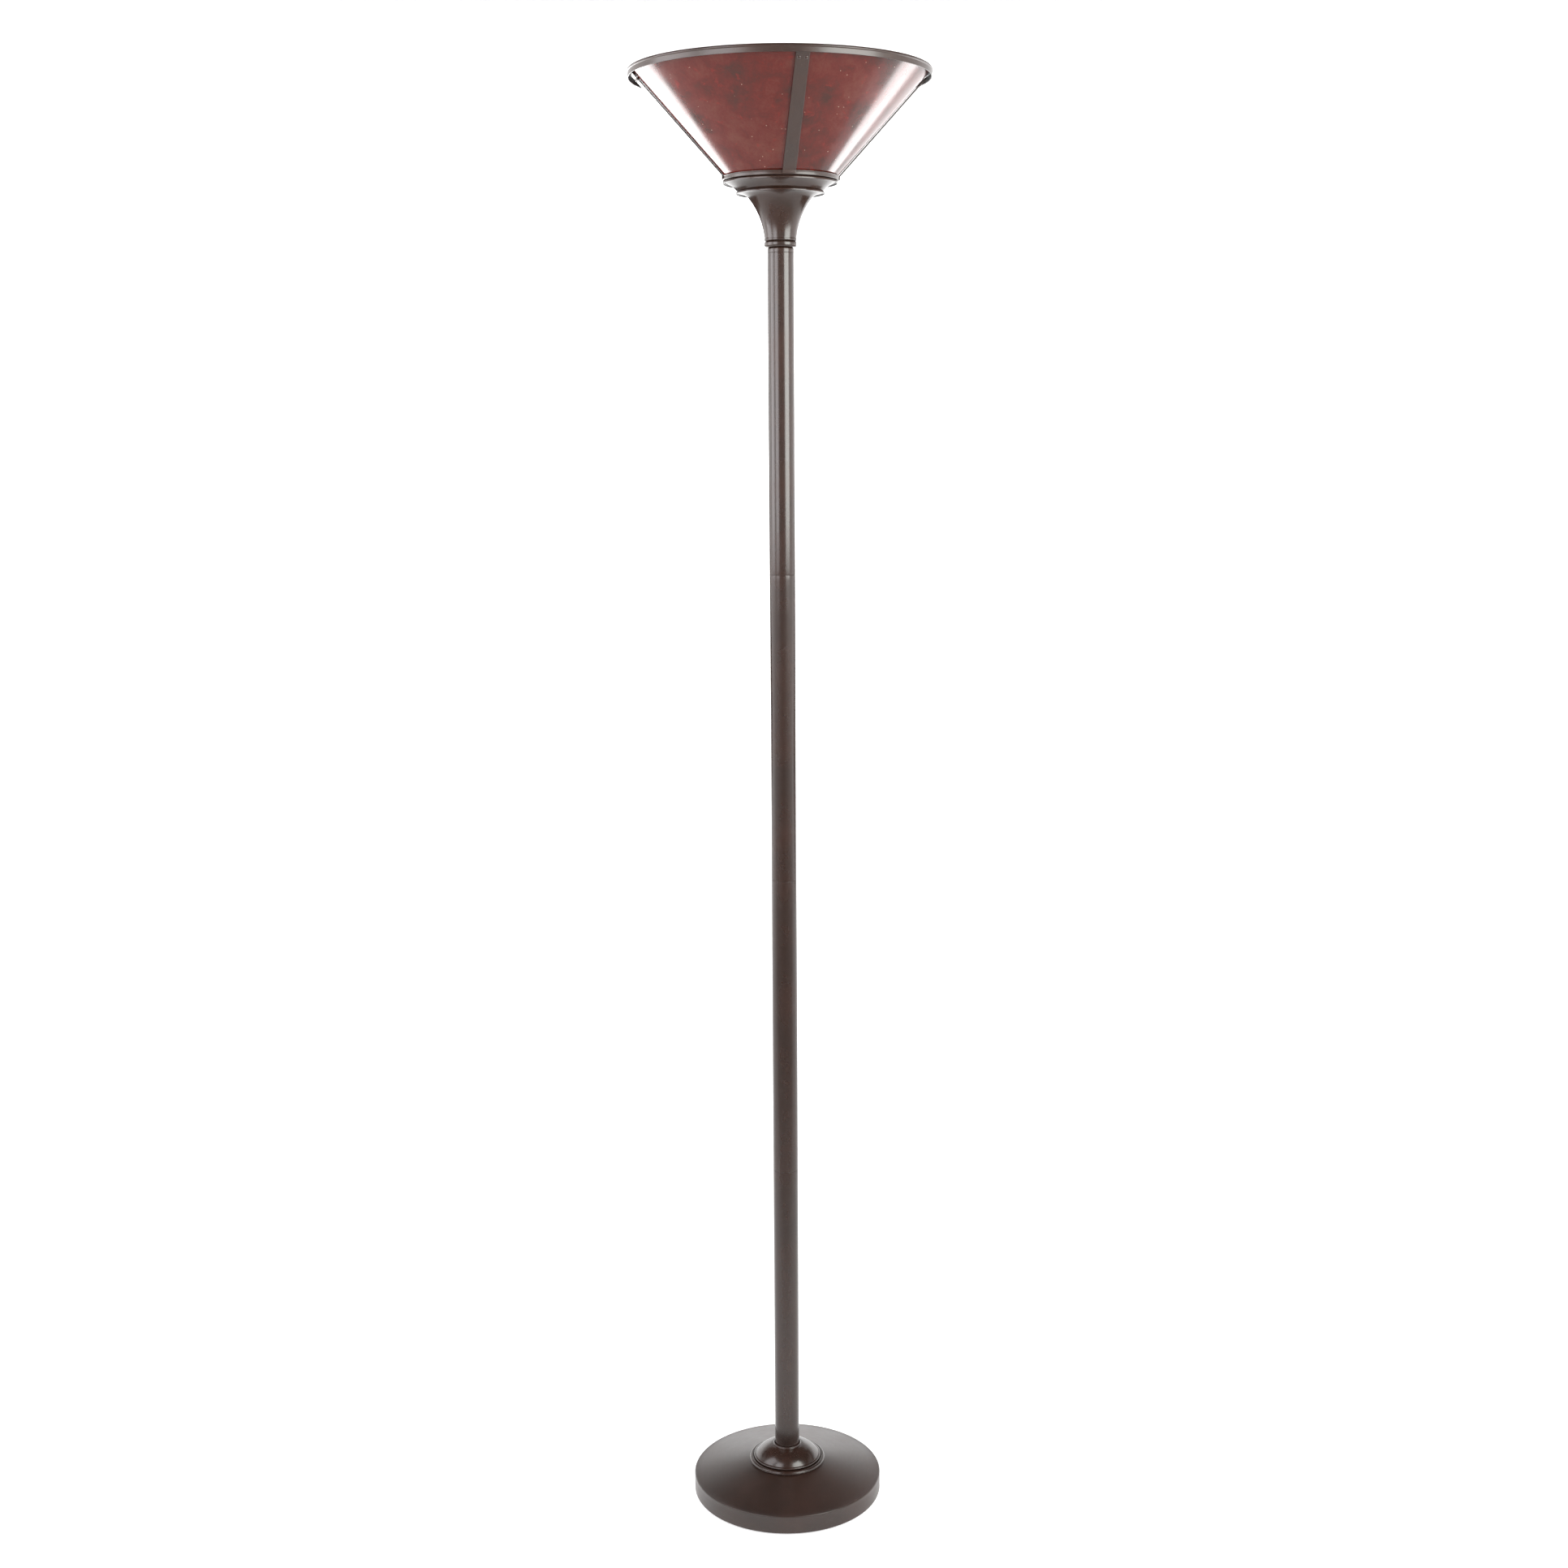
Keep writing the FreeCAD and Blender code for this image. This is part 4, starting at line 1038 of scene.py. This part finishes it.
class LAMP_OT_switch(bpy.types.Operator):
    """Build the fluted switch knob and give its stem a brass finish"""

    bl_idname = "lamp.switch"
    bl_label = "Rotary Switch"

    def execute(self, context):
        flutes = context.scene.lamp.shape.knob_flutes
        low, high = (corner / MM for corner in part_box("switch_knob"))
        start, end = low.x, high.x
        axis_height = (low.z + high.z) / 2
        radius = (high.z - low.z) / 2
        profile = path(
            (0.0, end), (radius * 0.70, end), (radius * 0.92, end - 1.1, 1.6),
            (radius * 0.98, end - 3.2), (radius, start + 2.6),
            (radius * 0.93, start + 1.4), (radius * 0.74, start + 0.4, 2.2),
            (radius * 0.66, start), (2.4, start), (0.0, start))
        steps = flutes * 8

        def build(shape):
            rings = []
            for column in range(steps):
                angle = TURN * column / steps
                ring = []
                for reach, along in profile:
                    edge = max(0, min(1, (reach / radius - 0.8) / 0.1))
                    grip = 1 - 0.055 * edge * (0.5 + 0.5 * math.cos(flutes * angle)) ** 2
                    spot = Vector((along, reach * grip * math.cos(angle),
                                   axis_height + reach * grip * math.sin(angle)))
                    ring.append(shape.verts.new(spot * MM))
                rings.append(ring)
            skin(shape, rings + rings[:1], closed=False)

        knob = new_piece("Switch_Knob", build, phenolic_material())
        place(knob, "switch")
        paint(brass_material(), "switch_stem")
        return {"FINISHED"}


class LAMP_OT_bulb(bpy.types.Operator):
    """Build the bulb's glass, threaded cap, insulator and contact"""

    bl_idname = "lamp.bulb"
    bl_label = "Bulb"

    def execute(self, context):
        _, low, high = extent("bulb_glass")
        glass = path(
            (12.0, low), (12.3, low + 8),
            (24.6, low + 36.8, -72.6), (0.0, high, 30))
        wall = 0.8
        outline = sheet(glass, wall)
        outline[len(glass)] = (0.0, high - wall)  # closes the inside on the axis
        place(lathe("Bulb_Glass", outline, bulb_glass_material(), segments=128), "bulb")

        outer, low, high = extent("bulb_cap")
        metal = plain_metal("Rolled Aluminium", (0.74, 0.74, 0.72), (0.55, 0.55, 0.54), 0.28)
        cap = new_piece("Bulb_Cap", threaded(outer, low + 1.2, high, 0.7, 1.1), metal, 60)
        place(cap, "bulb")

        glaze = moulding("Black Glass Insulator", (0.02, 0.02, 0.025), 0.16)
        _, low, high = extent("bulb_insulator")
        insulator = path(
            (0.0, low), (4.4, low), (5.6, low + 0.5, -2),
            (10.8, high - 0.4, 14), (12.2, high + 1.2, 4),
            (0.0, high + 1.2))
        place(lathe("Bulb_Insulator", insulator, glaze, segments=64), "bulb")
        outer, low, high = extent("bulb_contact")
        contact = path((0.0, low), (2.6, low), (outer, high - 0.3, 4),
                       (outer - 0.1, high), (0.0, high))
        place(lathe("Bulb_Contact", contact, metal, segments=48), "bulb")
        return {"FINISHED"}


class LAMP_OT_hidden_parts(bpy.types.Operator):
    """Give the fastenings, the weight, the couplings and the wire their finishes"""

    bl_idname = "lamp.hidden_parts"
    bl_label = "Inner Parts"

    def execute(self, context):
        paint(iron_material(), "base_weight")
        paint(steel_material(), "base_nipple", "base_washer", "base_nut", "neck_nipple",
              "dish_washer", "dish_nut", "pole_foot", "pole_coupling_1", "pole_coupling_2",
              "pole_coupling_3")
        paint(moulding("Black Rubber", (0.022, 0.021, 0.021), 0.55), "cord_bushing")
        paint(moulding("Brown Vinyl", (0.060, 0.042, 0.028), 0.4), "lamp_wire")
        return {"FINISHED"}


# Studio

SWEEP_RADIUS = 6400.0        # of the curved backdrop, in millimetres
SIDE_GLOW = 1.5              # how bright the backdrop is at the sides, behind and in front
BACK_GLOW = 1.6
FRONT_GLOW = 0.15
# painted floor light: how brightly the floor just in front of the lamp glows
FLOOR_GLOW = 0.65
SOFTBOX_REACH = 1.35         # from the pole to each softbox, in metres


def softbox(name, centre, target, width, height, power, colour):
    """A rectangular light that the camera doesn't see."""
    light = bpy.data.lights.new(name, "AREA")
    light.shape = "RECTANGLE"
    light.size = width
    light.size_y = height
    light.energy = power
    light.color = colour
    lamp = bpy.data.objects.new(name, light)
    lamp.location = centre
    lamp.rotation_euler = (Vector(target) - Vector(centre)).to_track_quat("-Z", "Y").to_euler()
    lamp.visible_camera = False
    bpy.context.scene.collection.objects.link(lamp)


def mirror_card(name, side, first, last, glow):
    """A bright card, unseen by the camera, that the shade's cone mirrors between two angles."""
    studio = bpy.context.scene.lamp.studio
    camera = Vector((0, -studio.distance, studio.height))
    reach, half_width, steps = 1.6, 0.2, 8
    height = (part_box("shade_ring")[1].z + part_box("shade_rim")[0].z) / 2
    lean = math.atan(CONE_SLOPE)
    edges = []
    for step in range(steps + 1):
        angle = math.radians(first + (last - first) * step / steps)
        around = Vector((side * math.sin(angle), -math.cos(angle), 0))
        normal = around * math.cos(lean) - Vector((0, 0, math.sin(lean)))
        spot = around * cone_radius(height / MM) * MM + Vector((0, 0, height))
        to_eye = (camera - spot).normalized()
        mirrored = 2 * normal.dot(to_eye) * normal - to_eye
        edges.append((spot + mirrored * reach, mirrored))
    middle = edges[steps // 2][1]
    travel = (edges[-1][0] - edges[0][0]).normalized()
    width = middle.cross(travel).normalized() * half_width

    def build(shape):
        pairs = [(shape.verts.new(spot - width), shape.verts.new(spot + width)) for spot, _ in edges]
        for (a, b), (c, d) in zip(pairs, pairs[1:]):
            shape.faces.new((a, b, d, c))

    material = new_material(name, Base_Color=(0, 0, 0, 1), Emission_Strength=glow,
                            Emission_Color=(1, 1, 1, 1))[0]
    card = new_piece(name, build, material)
    card.visible_camera = False
    card.visible_diffuse = False
    card.visible_shadow = False
    card.light_linking.receiver_collection = card_lit()


class LAMP_OT_studio(bpy.types.Operator):
    """Set up the floor sweep, the soft lights and the camera"""

    bl_idname = "lamp.studio"
    bl_label = "Studio"

    def execute(self, context):
        scene = context.scene
        studio = scene.lamp.studio
        self.sweep()
        self.fill(scene, studio)
        for name, angle, width, share, colour in (
                ("Left Back Softbox", -82, 0.85, 0.6, (0.98, 0.97, 1.0)),
                ("Left Front Softbox", -40, 0.70, 0.6, (0.98, 0.97, 1.0)),
                ("Right Softbox", 50, 1.0, 1.5, (0.97, 1.0, 0.96))):
            turn = math.radians(angle)
            spot = (SOFTBOX_REACH * math.sin(turn), -SOFTBOX_REACH * math.cos(turn), 1.8)
            softbox(name, spot, (0, 0, 1.5), width, 1.35, studio.key_power * share, colour)
        mirror_card("Left Card", -1, 57, 92, studio.card_glow)
        mirror_card("Left Soft Card", -1, 48, 57, studio.card_glow * 0.1)
        mirror_card("Right Card", 1, 54, 66, studio.card_glow)
        mirror_card("Right Soft Card", 1, 42, 54, studio.card_glow * 0.2)
        self.camera(scene, studio)
        return {"FINISHED"}

    def sweep(self):
        """A pale floor that curves up all round; its wall glows softly, brightest at the sides, and
        the floor in front of the lamp glows as painted light.
        """
        material, tree, shader = new_material("Pale Floor", Roughness=0.9, Specular_IOR_Level=0.1,
                                              Emission_Strength=SIDE_GLOW)
        where = tree.add("ShaderNodeTexCoord").outputs["Object"]
        mottle = tree.noise(1.3, where, detail=2.0)
        tree.feed(shader.inputs["Base Color"], tree.mix(mottle, rgba([0.72] * 3), rgba([0.74] * 3)))
        parts = tree.add("ShaderNodeSeparateXYZ", Vector=where).outputs
        across = tree.math("POWER", tree.math("DIVIDE", parts["X"], SWEEP_RADIUS * MM), 2.0)
        along = tree.math("DIVIDE", parts["Y"], SWEEP_RADIUS * MM)
        behind = tree.math("POWER", tree.math("MAXIMUM", along, 0.0), 2.0)
        before = tree.math("POWER", tree.math("MINIMUM", along, 0.0), 2.0)
        glow = tree.math("ADD", across, tree.math("MULTIPLY", behind, BACK_GLOW / SIDE_GLOW))
        glow = tree.math("ADD", glow, tree.math("MULTIPLY", before, FRONT_GLOW / SIDE_GLOW))
        # Painted light: the floor just in front of the lamp glows, standing in for the light that
        # falls there.
        painted_floor_light = tree.remap(parts["Y"], -0.9, -0.35, 0.0, FLOOR_GLOW / SIDE_GLOW)
        glow = tree.math("ADD", glow, painted_floor_light)
        glow = tree.math("MULTIPLY", glow, tree.remap(parts["Z"], 1.7, 3.2, 1.0, 0.08))
        tree.feed(shader.inputs["Emission Color"], tree.mix(glow, (0, 0, 0, 1), (1, 1, 1, 1)))
        flat, top, wall = 4400.0, 5000.0, 50.0
        outline = path((0.0, 0.0), (flat, 0.0), (SWEEP_RADIUS, 2000.0, 2000.0), (SWEEP_RADIUS, top),
                       (SWEEP_RADIUS + wall, top), (SWEEP_RADIUS + wall, 1900.0),
                       (flat, -wall, -2050.0), (0.0, -wall))
        new_piece("Floor", lambda shape: turn_outline(shape, outline, 96), material)

    def fill(self, scene, studio):
        world = bpy.data.worlds.new("Studio")
        world.use_nodes = True
        back = world.node_tree.nodes["Background"]
        back.inputs["Color"].default_value = (1, 1, 1, 1)
        back.inputs["Strength"].default_value = studio.sky
        scene.world = world

    def camera(self, scene, studio):
        data = bpy.data.cameras.new("Camera")
        data.lens = studio.lens
        data.sensor_width = 36.0
        camera = bpy.data.objects.new("Camera", data)
        camera.location = (0.0005, -studio.distance, studio.height)
        aim = Matrix.Rotation(math.pi / 2 - studio.pitch, 4, "X")
        camera.matrix_world = (Matrix.Translation(camera.location) @ aim
                               @ Matrix.Rotation(-studio.roll, 4, "Z"))
        scene.collection.objects.link(camera)
        scene.camera = camera
        scene.view_settings.view_transform = "Standard"


class LAMP_PT_panel(bpy.types.Panel):
    """Lists the lamp's pieces and settings"""

    bl_idname = "LAMP_PT_panel"
    bl_label = "Torchiere Lamp"
    bl_space_type = "VIEW_3D"
    bl_region_type = "UI"
    bl_category = "Lamp"

    def draw(self, context):
        layout = self.layout
        for operator in OPERATORS:
            layout.operator(operator.bl_idname)
        lamp = context.scene.lamp
        for group in (lamp.finish, lamp.mica, lamp.shape, lamp.studio):
            box = layout.box()
            for name in group.__annotations__:
                box.prop(group, name)


SETTINGS = (FinishSettings, MicaSettings, ShapeSettings, StudioSettings, LampSettings)
OPERATORS = (LAMP_OT_studio, LAMP_OT_base, LAMP_OT_pole, LAMP_OT_neck, LAMP_OT_shade_metal,
             LAMP_OT_mica, LAMP_OT_rivets, LAMP_OT_socket, LAMP_OT_switch, LAMP_OT_bulb,
             LAMP_OT_hidden_parts)
CLASSES = (*SETTINGS, *OPERATORS, LAMP_PT_panel)


def register():
    for cls in CLASSES:
        bpy.utils.register_class(cls)
    bpy.types.Scene.lamp = PointerProperty(type=LampSettings)


def unregister():
    del bpy.types.Scene.lamp
    for cls in reversed(CLASSES):
        bpy.utils.unregister_class(cls)


def main():
    register()
    bpy.ops.lamp.studio()
    bpy.ops.lamp.base()
    bpy.ops.lamp.pole()
    bpy.ops.lamp.neck()
    bpy.ops.lamp.shade_metal()
    bpy.ops.lamp.mica()
    bpy.ops.lamp.rivets()
    bpy.ops.lamp.socket()
    bpy.ops.lamp.switch()
    bpy.ops.lamp.bulb()
    bpy.ops.lamp.hidden_parts()


if __name__ == "__main__":
    main()
